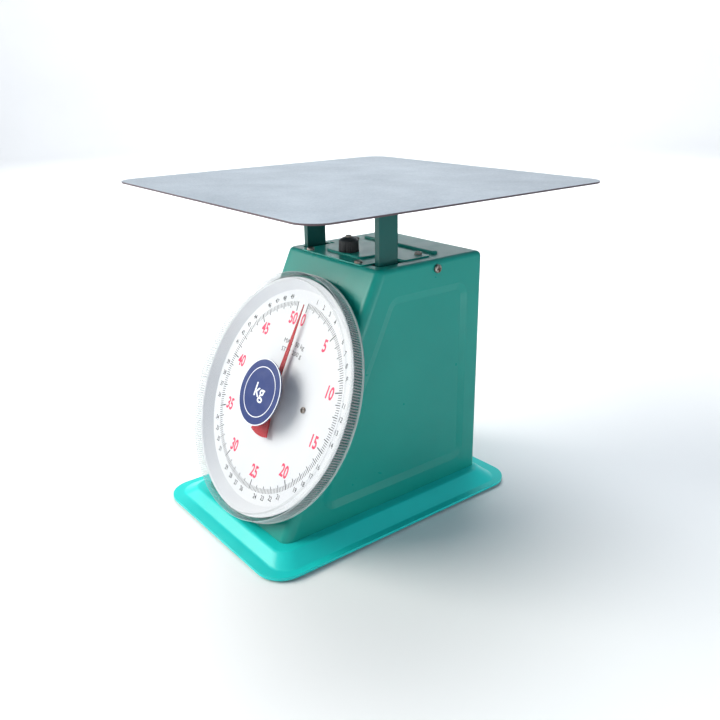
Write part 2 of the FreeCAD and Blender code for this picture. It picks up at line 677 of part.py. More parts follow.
# ---- dial ----
def make_dial():
    make_dial_pan()
    front = DIAL_PLATE_FRONT
    back = front - DIAL_PLATE_SHEET
    lip = DIAL_LIP_RADIUS
    lip_back = DIAL_LIP_HEIGHT - DIAL_PLATE_SHEET
    hole = DIAL_PLATE_HOLE_RADIUS
    plate = turned([
        (hole, back), (DIAL_PLATE_RADIUS + 0.6, back), (lip - DIAL_LIP_WIDTH + 0.6, lip_back),
        (lip, lip_back), (lip, DIAL_LIP_HEIGHT), (lip - DIAL_LIP_WIDTH, DIAL_LIP_HEIGHT),
        (DIAL_PLATE_RADIUS, front), (hole, front)])
    spacers = []
    screws = []
    for x in (-DIAL_SCREW_X, DIAL_SCREW_X):
        plate = plate.cut(rod(M3_HOLE, (x, 0, 0), (x, 0, front + PAST)))
        spacers.append(on_dial(tube(DIAL_SPACER_RADIUS, TAPPED_M3, (x, 0, DIAL_PAN_SHEET), (x, 0, back))))
        screws.append(on_dial(placed(screw(M3, 5.0), (x, 0, front), (0, 0, 1))))
    save("dial_plate", [on_dial(plate)])
    save("dial_plate_spacers", spacers)
    save("dial_plate_screws", screws)


def make_dial_pan():
    """The dished back of the dial, screwed through the shell's face into the works' pillars."""
    floor, wall, ring = DIAL_PAN_FLOOR_RADIUS, DIAL_PAN_WALL_RADIUS, PAN_RING_RADIUS
    sheet, height, hole = DIAL_PAN_SHEET, DIAL_PAN_HEIGHT, DIAL_PAN_HOLE_RADIUS
    pan = turned([
        (hole, 0.0), (floor, 0.0), (wall, height - sheet), (ring, height - sheet),
        (ring, height), (wall - sheet, height), (floor - sheet, sheet), (hole, sheet)])
    screws = []
    for x, y in works_posts():
        pan = pan.cut(rod(M3_HOLE, (x, y, -PAST), (x, y, PAST)))
        screws.append(on_dial(placed(screw(M3, 22.0), (x, y, sheet), (0, 0, 1))))
    save("dial_back_pan", [on_dial(pan)])
    save("dial_pan_screws", screws)


def make_lens():
    """Clear cover: a ribbed wall, a bevelled rim and a slightly domed window."""
    inner = LENS_INNER_RADIUS
    start, end = LENS_RIBS
    window = LENS_WINDOW_RADIUS
    flat = LENS_BADGE_FLAT_RADIUS
    centre = LENS_CENTRE_FRONT
    shoulder = centre - LENS_DOME_DROP
    outside = [
        (LENS_FLANGE_RADIUS, DIAL_PAN_HEIGHT), (LENS_FLANGE_RADIUS, start), (LENS_RIB_ROOT, start),
        (LENS_RIB_ROOT, end), (LENS_RIB_TIP, end), (LENS_RIB_TIP, LENS_RIM_FRONT - 0.8),
        (LENS_RIB_TIP - 0.8, LENS_RIM_FRONT), (window, LENS_WINDOW_EDGE),
        (LENS_DOME_RADIUS, shoulder), (flat, centre), (0.0, centre)]
    inside = [
        (0.0, centre - LENS_WALL), (flat, centre - LENS_WALL), (LENS_DOME_RADIUS, shoulder - LENS_WALL),
        (window - 1.0, LENS_WINDOW_EDGE - LENS_WALL), (inner, LENS_RIM_FRONT - LENS_WALL),
        (inner, DIAL_PAN_HEIGHT)]
    ribs = flat_shape(star_points(LENS_RIB_COUNT, LENS_RIB_ROOT, LENS_RIB_TIP), LENS_RIBS)
    ribs = ribs.cut(rod(LENS_RIB_ROOT - 0.4, (0, 0, 0), (0, 0, end + PAST)))
    save("dial_lens", [on_dial(turned(outside + inside).fuse(ribs))])

    front = centre + BADGE_THICKNESS
    badge = turned([
        (0.0, centre), (BADGE_RADIUS, centre), (BADGE_RADIUS, front - BADGE_CHAMFER),
        (BADGE_RADIUS - BADGE_CHAMFER, front), (0.0, front)])
    save("hub_badge", [on_dial(badge)])


def make_pointer():
    back = POINTER_BACK
    front = back + POINTER_SHEET
    angle = math.radians(POINTER_TAIL_HALF_ANGLE)
    tail_x = POINTER_TAIL_RADIUS * math.sin(angle)
    tail_y = -POINTER_TAIL_RADIUS * math.cos(angle)
    root = POINTER_HALF_WIDTHS[0][1]
    right_edge = [(half, y) for y, half in POINTER_HALF_WIDTHS]
    left_edge = [(-half, y) for y, half in reversed(POINTER_HALF_WIDTHS)]
    blade = flat_shape(right_edge + left_edge, (back, front))
    tail_arc = Part.Arc(Vector(-tail_x, tail_y, back), Vector(0, -POINTER_TAIL_RADIUS, back),
                        Vector(tail_x, tail_y, back)).toShape()
    sides = Part.makePolygon([Vector(tail_x, tail_y, back), Vector(root, 0, back),
                              Vector(-root, 0, back), Vector(-tail_x, tail_y, back)])
    tail = Part.Face(Part.Wire([tail_arc] + sides.Edges)).extrude(Vector(0, 0, POINTER_SHEET))
    hub = rod(POINTER_HUB_RADIUS, (0, 0, back), (0, 0, front))
    pointer = blade.fuse(tail).fuse(hub).removeSplitter()
    pointer = pointer.cut(rod(COLLET_RADIUS, (0, 0, back - PAST), (0, 0, front + PAST)))
    pointer.rotate(Vector(0, 0, 0), Vector(0, 0, 1), -POINTER_ZERO_ANGLE)
    save("pointer", [on_dial(pointer)])

    collet = rod(COLLET_RADIUS, (0, 0, back - COLLET_FLANGE), (0, 0, front + 1.2))
    collet = collet.fuse(rod(COLLET_FLANGE_RADIUS, (0, 0, back - COLLET_FLANGE), (0, 0, back)))
    collet = collet.cut(rod(SPINDLE_RADIUS, (0, 0, 0), (0, 0, SPINDLE_FRONT + PAST)))
    save("pointer_collet", [on_dial(collet)])


# ---- pointer works ----
def works_posts():
    return [(x, y) for x in (-WORKS_POST_X, WORKS_POST_X) for y in (-WORKS_POST_Y, WORKS_POST_Y)]


def pinion_points():
    """Outline of the pinion, with one tooth centred on +X and involute flanks."""
    base = PINION_RADIUS * math.cos(PRESSURE_ANGLE)
    half_tooth = (math.pi * GEAR_MODULE / 2.0 - BACKLASH) / (2.0 * PINION_RADIUS)
    involute_at_pitch = math.tan(PRESSURE_ANGLE) - PRESSURE_ANGLE
    flank = [(PINION_ROOT, half_tooth + involute_at_pitch)]
    steps = 6
    for i in range(steps + 1):
        radius = base + (PINION_TIP - base) * i / steps
        pressure = math.acos(min(1.0, base / radius))
        flank.append((radius, half_tooth + involute_at_pitch - (math.tan(pressure) - pressure)))
    points = []
    for tooth in range(PINION_TEETH):
        centre = 2.0 * math.pi * tooth / PINION_TEETH
        rising = [(radius, centre - angle) for radius, angle in flank]
        falling = [(radius, centre + angle) for radius, angle in reversed(flank)]
        for radius, angle in rising + falling:
            points.append((radius * math.cos(angle), radius * math.sin(angle)))
    return points


def rack_points():
    """Outline of the rack's toothed edge and its back, with a tooth space at y = 0."""
    pitch = math.pi * GEAR_MODULE
    lean = math.tan(PRESSURE_ANGLE)
    half_tooth = (pitch / 2.0 - BACKLASH) / 2.0
    tip_half = half_tooth - (PINION_RADIUS - RACK_TIP_X) * lean
    root_half = half_tooth + (RACK_ROOT_X - PINION_RADIUS) * lean
    low, high = RACK_TEETH_Y
    first = math.ceil(low / pitch - 0.5)
    last = math.floor(high / pitch - 0.5)
    points = [(RACK_BACK_X, LUG_Y[0]), (RACK_BACK_X, RACK_TOP_Y), (RACK_ROOT_X, RACK_TOP_Y)]
    for tooth in range(last, first - 1, -1):
        centre = (tooth + 0.5) * pitch
        points.append((RACK_ROOT_X, centre + root_half))
        points.append((RACK_TIP_X, centre + tip_half))
        points.append((RACK_TIP_X, centre - tip_half))
        points.append((RACK_ROOT_X, centre - root_half))
    points.append((RACK_ROOT_X, LUG_Y[0]))
    return points


def make_rack():
    rack = flat_shape(rack_points(), RACK_DEPTH).fuse(box(LUG_X, LUG_Y, LUG_DEPTH))
    rack = rack.cut(box((0.0, LUG_X[0]), LUG_Y, LUG_DEPTH))
    inward = TRAVEL * math.sin(math.radians(FACE_TILT))
    slot_half = DRIVE_PIN_RADIUS + RUNNING_GAP
    slot_depth = (DRIVE_PIN_DEPTH - inward - 3.0, DRIVE_PIN_DEPTH + 3.0)
    slot = box((0.0, 20.0), (DRIVE_PIN_Y - slot_half, DRIVE_PIN_Y + slot_half), slot_depth)
    save("rack", [on_dial(rack.cut(slot).removeSplitter())])

    guides = []
    channel_x = (RACK_TIP_X - GUIDE_GAP, RACK_BACK_X + GUIDE_GAP)
    channel_depth = (RACK_DEPTH[0] - GUIDE_GAP, RACK_DEPTH[1] + GUIDE_GAP)
    for left, low, high in (LOWER_GUIDE, UPPER_GUIDE):
        block = box((left, GUIDE_RIGHT_X), (low, high), (REAR_PLATE[1], GUIDE_FRONT))
        channel = box(channel_x, (low - PAST, high + PAST), channel_depth)
        guides.append(on_dial(block.cut(channel)))
    save("rack_guides", guides)


def make_works():
    behind = REAR_PLATE[0] - PAST
    holes = [rod(M3_HOLE, (x, y, behind), (x, y, 0)) for x, y in works_posts()]
    bush_hole = rod(BUSH_RADIUS, (0, 0, behind), (0, 0, 0))
    for name, depth in (("works_front_plate", FRONT_PLATE), ("works_rear_plate", REAR_PLATE)):
        plate = slab(WORKS_PLATE_X, WORKS_PLATE_Y, depth, WORKS_PLATE_CORNER).cut(bush_hole)
        save(name, [on_dial(plate.cut(Part.makeCompound(holes)))])

    posts = []
    screws = []
    for x, y in works_posts():
        for start, end in ((FRONT_PLATE[1], -SHELL_SHEET), (REAR_PLATE[1], FRONT_PLATE[0])):
            posts.append(on_dial(tube(WORKS_POST_RADIUS, TAPPED_M3, (x, y, start), (x, y, end))))
        screws.append(on_dial(placed(screw(M3, 10.0), (x, y, REAR_PLATE[0]), (0, 0, -1))))
    save("works_pillars", posts)
    save("works_screws", screws)

    bore = SPINDLE_RADIUS + RUNNING_GAP
    bushes = []
    for depth in (FRONT_PLATE, REAR_PLATE):
        bush = tube(BUSH_RADIUS, bore, (0, 0, depth[0]), (0, 0, depth[1]))
        flange = tube(BUSH_FLANGE_RADIUS, bore, (0, 0, depth[1]), (0, 0, depth[1] + 1.0))
        bushes.append(on_dial(bush.fuse(flange)))
    save("spindle_bushes", bushes)

    spindle = rod(SPINDLE_RADIUS, (0, 0, SPINDLE_BACK), (0, 0, SPINDLE_FRONT))
    spindle = spindle.fuse(flat_shape(pinion_points(), PINION_DEPTH))
    save("pointer_spindle", [on_dial(spindle)])


# ---- platform ----
def stud_spots():
    return [(x, PLATFORM_CENTRE_Y + y) for x in (-RAIL_X, RAIL_X) for y in (-STUD_Y, STUD_Y)]


def make_platform():
    half = PLATFORM_SIZE / 2.0
    under_z = PLATFORM_TOP_Z - PLATFORM_SHEET
    y = (PLATFORM_CENTRE_Y - half, PLATFORM_CENTRE_Y + half)
    save("platform_plate", [slab((-half, half), y, (under_z, PLATFORM_TOP_Z), PLATFORM_CORNER)])

    rail_top = under_z - PAD_HEIGHT
    rail_bottom = rail_top - RAIL_HEIGHT
    rails = []
    for centre in (-RAIL_X, RAIL_X):
        rail_y = (PLATFORM_CENTRE_Y - RAIL_HALF_LENGTH, PLATFORM_CENTRE_Y + RAIL_HALF_LENGTH)
        rail_x = (centre - RAIL_HALF_WIDTH, centre + RAIL_HALF_WIDTH)
        rail = slab(rail_x, rail_y, (rail_bottom, rail_top), RAIL_CORNER)
        for x, stud_y in stud_spots():
            rail = rail.cut(rod(M5_HOLE, (x, stud_y, rail_bottom - PAST), (x, stud_y, rail_top + PAST)))
        rails.append(rail)
    save("platform_rails", rails)

    pads = []
    studs = []
    nuts = []
    for x, stud_y in stud_spots():
        pads.append(tube(PAD_RADIUS, M5_HOLE, (x, stud_y, rail_top), (x, stud_y, under_z)))
        studs.append(rod(M5[0], (x, stud_y, rail_bottom - STUD_LENGTH_BELOW), (x, stud_y, under_z)))
        nuts.append(placed(hex_nut(M5[0], *M5_NUT), (x, stud_y, rail_bottom), (0, 0, -1)))
    save("platform_pads", pads)
    save("platform_studs", studs)
    save("platform_nuts", nuts)

    member_bottom = rail_bottom - CROSSMEMBER_HEIGHT
    member_y = (WORKS_Y - POST_HALF_DEPTH, WORKS_Y + POST_HALF_DEPTH)
    member_half = RAIL_X + CROSSMEMBER_END
    member = slab((-member_half, member_half), member_y, (member_bottom, rail_bottom), 4.0)
    post_screws = []
    for x in (-POST_MIDDLE_X, POST_MIDDLE_X):
        for screw_y in POST_SCREW_Y:
            head = (x, screw_y, rail_bottom)
            member = member.cut(rod(M4_HOLE, (x, screw_y, member_bottom), head))
            post_screws.append(placed(screw(M4, CROSSMEMBER_HEIGHT + 10.0), head, (0, 0, 1)))
    save("platform_crossmember", [member])
    save("post_screws", post_screws)
    return member_bottom


# ---- load carriage below the platform ----
def make_posts(top_z):
    for name, side in (("post_left", -1), ("post_right", 1)):
        x = sorted((side * POST_X[0], side * POST_X[1]))
        y = (WORKS_Y - POST_HALF_DEPTH, WORKS_Y + POST_HALF_DEPTH)
        post = box(x, y, (POST_BOTTOM_Z, top_z))
        across = (x[0] - PAST, x[1] + PAST)
        for screw_y in POST_SCREW_Y:
            hole_top = (side * POST_MIDDLE_X, screw_y, top_z)
            hole_bottom = (side * POST_MIDDLE_X, screw_y, top_z - POST_SCREW_DEPTH)
            post = post.cut(rod(TAPPED_M4, hole_bottom, hole_top))
        for screw_z in BEAM_SCREW_Z:
            post = post.cut(rod(M4_HOLE, (across[0], WORKS_Y, screw_z), (across[1], WORKS_Y, screw_z)))
        for pin_z in LINK_PIN_Z.values():
            post = post.cut(rod(PIN_TAIL_RADIUS, (across[0], WORKS_Y, pin_z), (across[1], WORKS_Y, pin_z)))
        save(name, [post])


def make_beam():
    beam = box((-POST_X[0], POST_X[0]), BEAM_Y, (POST_BOTTOM_Z, BEAM_TOP_Z))
    screws = []
    for side in (-1, 1):
        for z in BEAM_SCREW_Z:
            hole_end = side * (POST_X[0] - BEAM_SCREW_LENGTH)
            beam = beam.cut(rod(TAPPED_M4, (side * POST_X[1], WORKS_Y, z), (hole_end, WORKS_Y, z)))
            head = (side * POST_X[1], WORKS_Y, z)
            screws.append(placed(screw(M4, BEAM_SCREW_LENGTH), head, (side, 0, 0)))
    for x in ARM_SCREW_X + DAMPER_SCREW_X:
        start = (x, BEAM_Y[0] - BRACKET_SHEET, BRACKET_SCREW_Z)
        end = (x, BEAM_Y[1] - 1.0, BRACKET_SCREW_Z)
        beam = beam.cut(rod(TAPPED_M4, start, end))
        screws.append(placed(screw(M4, BEAM_SCREW_LENGTH), start, (0, -1, 0)))
    for x in (-SPRING_X, SPRING_X):
        socket = (x, WORKS_Y, PLUG_STEM_BOTTOM_Z - 1.0)
        beam = beam.cut(rod(PLUG_STEM_RADIUS + RUNNING_GAP, socket, (x, WORKS_Y, BEAM_TOP_Z + PAST)))
    save("lower_beam", [beam])
    save("beam_screws", screws)

    pins = []
    for side in (-1, 1):
        for z in LINK_PIN_Z.values():
            pins.append(carriage_pin(side, z))
    save("link_pins", pins)


def carriage_pin(side, z):
    """A stepped pin: head, journal for the link's slot, shoulder, and riveted tail in the post."""
    steps = ((38.0, 39.4, 4.5), (39.4, 43.6, LINK_PIN_RADIUS), (43.6, POST_X[0], 4.5),
             (POST_X[0], POST_X[1], PIN_TAIL_RADIUS), (POST_X[1], POST_X[1] + 1.4, 3.8))
    pin = None
    for start, end, radius in steps:
        piece = rod(radius, (side * start, WORKS_Y, z), (side * end, WORKS_Y, z))
        pin = pin.fuse(piece) if pin else piece
    return pin


def make_drive_arm():
    """A bent plate from the lower beam that carries the pin working in the rack's slot."""
    pin = dial_point(0.0, DRIVE_PIN_Y, DRIVE_PIN_DEPTH)
    foot_y = (BEAM_Y[0] - BRACKET_SHEET, BEAM_Y[0])
    foot_low, foot_high = BRACKET_FOOT_Z
    eye_y = (pin.y - 7.0, pin.y + 4.0)
    eye_z = (pin.z - 6.0, pin.z + 6.0)
    arm = side_plate([(foot_y[0], foot_low), (foot_y[0], foot_high), (eye_y[1], eye_z[1]),
                      (eye_y[0], eye_z[1]), (eye_y[0], eye_z[0]), (eye_y[1], eye_z[0])], ARM_X, 1.0)
    arm = arm.fuse(box((ARM_X[0], ARM_FOOT_END_X), foot_y, BRACKET_FOOT_Z)).removeSplitter()
    for x in ARM_SCREW_X:
        start = (x, foot_y[0] - PAST, BRACKET_SCREW_Z)
        arm = arm.cut(rod(M4_HOLE, start, (x, foot_y[1] + PAST, BRACKET_SCREW_Z)))
    arm = arm.cut(rod(DRIVE_PIN_RADIUS, (ARM_X[0] - PAST, pin.y, pin.z), (ARM_X[1] + PAST, pin.y, pin.z)))
    save("drive_arm", [arm])
    save("drive_pin", [rod(DRIVE_PIN_RADIUS, (LUG_X[0] - 1.0, pin.y, pin.z), (ARM_X[1], pin.y, pin.z))])


def make_springs():
    turns_height = SPRING_TOP_Z - SPRING_BOTTOM_Z
    for name, x in (("spring_left", -SPRING_X), ("spring_right", SPRING_X)):
        helix = Part.makeHelix(SPRING_PITCH, turns_height, SPRING_COIL_RADIUS)
        centre = Vector(SPRING_COIL_RADIUS, 0, 0)
        section = Part.Wire([Part.makeCircle(SPRING_WIRE_RADIUS, centre, Vector(0, 1, 0))])
        coil = Part.Wire(helix.Edges).makePipeShell([section], True, True)
        coil.translate(Vector(x, WORKS_Y, SPRING_BOTTOM_Z))
        save(name, [coil])

    lower = []
    upper = []
    for x in (-SPRING_X, SPRING_X):
        lower_top = SPRING_BOTTOM_Z + PLUG_LENGTH
        plug = rod(PLUG_RADIUS, (x, WORKS_Y, SPRING_BOTTOM_Z - 2.0), (x, WORKS_Y, lower_top))
        stem = rod(PLUG_STEM_RADIUS, (x, WORKS_Y, PLUG_STEM_BOTTOM_Z), (x, WORKS_Y, lower_top))
        lower.append(plug.fuse(stem))
        upper_bottom = SPRING_TOP_Z - PLUG_LENGTH
        plug = rod(PLUG_RADIUS, (x, WORKS_Y, upper_bottom), (x, WORKS_Y, HANGER_Z[0]))
        stem = rod(PLUG_STEM_RADIUS, (x, WORKS_Y, upper_bottom), (x, WORKS_Y, HANGER_Z[1] + 4.0))
        nut = placed(hex_nut(PLUG_STEM_RADIUS - 0.1, 10.0, 3.0), (x, WORKS_Y, HANGER_Z[1]), (0, 0, 1))
        upper.append(plug.fuse(stem).fuse(nut).removeSplitter())
    save("lower_spring_plugs", lower)
    save("upper_spring_plugs", upper)


# ---- links ----
def link_drop():
    return TRAVEL / 2.0


def stadium(length, radius, x):
    """A round-ended plate from the origin along +Y, as thick as the (low, high) pair x."""
    plate = box(x, (0.0, length), (-radius, radius))
    plate = plate.fuse(rod(radius, (x[0], 0, 0), (x[1], 0, 0)))
    return plate.fuse(rod(radius, (x[0], length, 0), (x[1], length, 0))).removeSplitter()


def make_links():
    reach = math.hypot(LINK_REACH, link_drop())
    turn = Rotation(Vector(1, 0, 0), math.degrees(math.atan2(link_drop(), -LINK_REACH)))
    hole = LINK_PIN_RADIUS + LINK_SLOT_GAP
    rods = []
    for name, pin_z in LINK_PIN_Z.items():
        rod_y = WORKS_Y + LINK_REACH
        rod_z = pin_z - link_drop()
        link = tube(LINK_TUBE_RADIUS, LINK_ROD_RADIUS + RUNNING_GAP,
                    (-LINK_TUBE_HALF_LENGTH, 0, 0), (LINK_TUBE_HALF_LENGTH, 0, 0))
        tube_end = LINK_TUBE_HALF_LENGTH
        bore = rod(LINK_ROD_RADIUS + RUNNING_GAP, (-tube_end, 0, 0), (tube_end, 0, 0))
        for x in mirrored_pair(*LINK_ARM_X):
            arm = stadium(reach, LINK_ARM_HALF_WIDTH, x).cut(bore)
            slot = stadium(reach - LINK_REACH + 2 * LINK_SLOT_GAP, hole, (x[0] - PAST, x[1] + PAST))
            slot.translate(Vector(0, LINK_REACH - LINK_SLOT_GAP, 0))
            link = link.fuse(arm.cut(slot))
        brace_z = (-LINK_BRACE_HALF_SHEET, LINK_BRACE_HALF_SHEET)
        link = link.fuse(box((-LINK_ARM_X[0], LINK_ARM_X[0]), LINK_BRACE_AT, brace_z)).removeSplitter()
        link.Placement = Placement(Vector(0, rod_y, rod_z), turn)
        save(name + "_link", [link])
        rods.append(frame_rod(rod_y, rod_z))
    save("link_rods", rods)


def frame_rod(y, z):
    """A rod between the chassis sides with its ends turned down and riveted over."""
    body = rod(LINK_ROD_RADIUS, (-CHASSIS_X[0], y, z), (CHASSIS_X[0], y, z))
    tails = rod(ROD_TAIL_RADIUS, (-CHASSIS_X[1], y, z), (CHASSIS_X[1], y, z))
    whole = body.fuse(tails)
    for side in (-1, 1):
        start = side * CHASSIS_X[1]
        whole = whole.fuse(rod(ROD_HEAD_RADIUS, (start, y, z), (start + side * ROD_HEAD, y, z)))
    return whole


# ---- chassis ----
def make_chassis():
    """An inverted U of bent sheet that stands on the pan and carries the springs and links."""
    top = CHASSIS_TOP_Z
    foot_z = DECK_Z + SHELL_SHEET
    outline = [(CHASSIS_TOP_Y[0], top), (CHASSIS_FOOT_Y[0], foot_z),
               (CHASSIS_FOOT_Y[1], foot_z), (CHASSIS_TOP_Y[1], top)]
    chassis = box((-CHASSIS_X[0], CHASSIS_X[0]), CHASSIS_BRIDGE_Y, (top - CHASSIS_SHEET, top))
    for x in mirrored_pair(*CHASSIS_X):
        window = side_plate(CHASSIS_WINDOW, (x[0] - PAST, x[1] + PAST), CHASSIS_WINDOW_CORNER)
        chassis = chassis.fuse(side_plate(outline, x, 1.0).cut(window))
    for x in mirrored_pair(CHASSIS_FLANGE_X, CHASSIS_X[0]):
        chassis = chassis.fuse(box(x, CHASSIS_FLANGE_Y, (foot_z, foot_z + CHASSIS_SHEET)))
    gap_x, gap_y = POST_PASSAGE_GAP
    passage_y = (WORKS_Y - POST_HALF_DEPTH - gap_y, WORKS_Y + POST_HALF_DEPTH + gap_y)
    for x in mirrored_pair(POST_X[0] - gap_x, POST_X[1] + gap_x):
        chassis = chassis.cut(box(x, passage_y, (top - CHASSIS_SHEET - PAST, top + PAST)))
    reach = CHASSIS_X[1] + PAST
    for pin_z in LINK_PIN_Z.values():
        rod_y = WORKS_Y + LINK_REACH
        rod_z = pin_z - link_drop()
        chassis = chassis.cut(rod(ROD_TAIL_RADIUS, (-reach, rod_y, rod_z), (reach, rod_y, rod_z)))
    y, z = SIDE_SCREW
    chassis = chassis.cut(rod(M4_HOLE, (-reach, y, z), (reach, y, z)))
    top_holes = [(0.0, ZERO_SCREW_RADIUS + RUNNING_GAP), (-GUIDE_PIN_X, GUIDE_PIN_RADIUS),
                 (GUIDE_PIN_X, GUIDE_PIN_RADIUS)]
    for x, radius in top_holes:
        chassis = chassis.cut(rod(radius, (x, WORKS_Y, top - CHASSIS_SHEET - PAST), (x, WORKS_Y, top + PAST)))
    chassis = drilled_upwards(chassis, base_screw_spots(), M5_HOLE)
    save("chassis_frame", [chassis.removeSplitter()])

    pins = []
    stops = []
    stop_top = POST_BOTTOM_Z - TRAVEL - STOP_GAP
    for side in (-1, 1):
        x = side * GUIDE_PIN_X
        pins.append(rod(GUIDE_PIN_RADIUS, (x, WORKS_Y, GUIDE_PIN_BOTTOM_Z), (x, WORKS_Y, top)))
        x = side * STOP_X
        stops.append(rod(STOP_RADIUS, (x, WORKS_Y, DECK_Z), (x, WORKS_Y, stop_top)))
    save("hanger_guide_pins", pins)
    save("overload_stops", stops)


# ---- zero adjustment ----
def make_zero_adjustment():
    make_hanger()
    make_zero_screw()
    make_knob()


def make_hanger():
    """The bar that the springs hang from, lifted by the zero screw along two guide pins."""
    y = (WORKS_Y - HANGER_HALF_DEPTH, WORKS_Y + HANGER_HALF_DEPTH)
    hanger = slab((-HANGER_HALF_LENGTH, HANGER_HALF_LENGTH), y, HANGER_Z, HANGER_CORNER)
    holes = [(0.0, ZERO_SCREW_RADIUS + RUNNING_GAP), (-SPRING_X, PLUG_STEM_RADIUS),
             (SPRING_X, PLUG_STEM_RADIUS), (-GUIDE_PIN_X, GUIDE_PIN_RADIUS + RUNNING_GAP),
             (GUIDE_PIN_X, GUIDE_PIN_RADIUS + RUNNING_GAP)]
    for x, radius in holes:
        hanger = hanger.cut(rod(radius, (x, WORKS_Y, HANGER_Z[0] - PAST), (x, WORKS_Y, HANGER_Z[1] + PAST)))
    save("zero_hanger", [hanger])


def make_zero_screw():
    """The screw under the knob, held in the chassis between a collar and a clip."""
    grip_top = KNOB_BOTTOM_Z + KNOB_HEIGHT
    collar_z = CHASSIS_TOP_Z + ZERO_PLAY
    clip_z = CHASSIS_TOP_Z - CHASSIS_SHEET - ZERO_PLAY
    body = rod(ZERO_SCREW_RADIUS, (0, WORKS_Y, ZERO_SCREW_BOTTOM_Z), (0, WORKS_Y, grip_top))
    body = body.fuse(rod(ZERO_COLLAR[0], (0, WORKS_Y, collar_z), (0, WORKS_Y, collar_z + ZERO_COLLAR[1])))
    body = body.fuse(rod(ZERO_CLIP[0], (0, WORKS_Y, clip_z - ZERO_CLIP[1]), (0, WORKS_Y, clip_z)))
    socket_z = grip_top + KNOB_DOME - KNOB_SCREW_LENGTH - 2.0
    save("zero_screw", [body.cut(rod(M3[0], (0, WORKS_Y, socket_z), (0, WORKS_Y, grip_top)))])


def make_knob():
    height = KNOB_HEIGHT
    grip = flat_shape(star_points(KNOB_FLUTES, KNOB_ROOT_RADIUS, KNOB_TIP_RADIUS), (0.0, height))
    taper = turned([(0.0, 0.0), (KNOB_TIP_RADIUS, 0.0), (KNOB_TIP_RADIUS - 0.3, height), (0.0, height)])
    dome_top = height + KNOB_DOME
    dome = turned([(0.0, height), (KNOB_ROOT_RADIUS, height), (KNOB_ROOT_RADIUS - 1.6, height + 1.6),
                   (KNOB_DOME_FLAT_RADIUS, dome_top), (0.0, dome_top)])
    knob = grip.common(taper).fuse(dome).removeSplitter()
    knob = knob.cut(rod(ZERO_SCREW_RADIUS, (0, 0, 0), (0, 0, height)))
    knob = knob.cut(rod(M3_HOLE, (0, 0, 0), (0, 0, dome_top)))
    knob.translate(Vector(0, WORKS_Y, KNOB_BOTTOM_Z))
    save("zero_knob", [knob])
    head = (0, WORKS_Y, KNOB_BOTTOM_Z + dome_top)
    save("zero_knob_screw", [placed(screw(M3, KNOB_SCREW_LENGTH), head, (0, 0, 1))])


# ---- damper ----
def make_damper():
    x, y = DAMPER
    floor_z = DECK_Z + DAMPER_FLOOR
    cylinder = rod(DAMPER_RADIUS, (x, y, DECK_Z), (x, y, DAMPER_TOP_Z))
    cylinder = cylinder.cut(rod(DAMPER_BORE, (x, y, floor_z), (x, y, DAMPER_TOP_Z - DAMPER_CAP)))
    cylinder = cylinder.cut(rod(DAMPER_ROD_RADIUS + 0.1, (x, y, floor_z), (x, y, DAMPER_TOP_Z)))
    save("damper_cylinder", [cylinder])

    shelf_low, shelf_top = DAMPER_SHELF_Z
    foot_y = (BEAM_Y[0] - BRACKET_SHEET, BEAM_Y[0])
    bracket = box(DAMPER_BRACKET_X, foot_y, (BRACKET_FOOT_Z[0], shelf_top))
    bracket = bracket.fuse(box(DAMPER_BRACKET_X, (y - 8.0, foot_y[1]), DAMPER_SHELF_Z)).removeSplitter()
    for screw_x in DAMPER_SCREW_X:
        start = (screw_x, foot_y[0] - PAST, BRACKET_SCREW_Z)
        bracket = bracket.cut(rod(M4_HOLE, start, (screw_x, foot_y[1] + PAST, BRACKET_SCREW_Z)))
    bracket = bracket.cut(rod(M4[0], (x, y, shelf_low - PAST), (x, y, shelf_top + PAST)))
    save("damper_bracket", [bracket])

    piston_low, piston_high = DAMPER_PISTON_Z
    piston = rod(DAMPER_BORE - DAMPER_PISTON_GAP, (x, y, piston_low), (x, y, piston_high))
    piston = piston.fuse(rod(DAMPER_ROD_RADIUS, (x, y, piston_low), (x, y, shelf_low)))
    piston = piston.fuse(rod(M4[0], (x, y, piston_low), (x, y, shelf_top + 3.0)))
    save("damper_piston", [piston])


def main():
    os.makedirs("parts", exist_ok=True)
    make_base()
    make_shell()
    make_rear_cover()
    make_top_cover()
    make_dial()
    make_lens()
    make_pointer()
    make_rack()
    make_works()
    make_posts(make_platform())
    make_beam()
    make_drive_arm()
    make_springs()
    make_links()
    make_chassis()
    make_zero_adjustment()
    make_damper()


main()
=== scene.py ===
"""Looks, dial printing, camera and studio for the mechanical dial platform scale."""
import bmesh
import bpy
import json
import math
from mathutils import Matrix, Vector


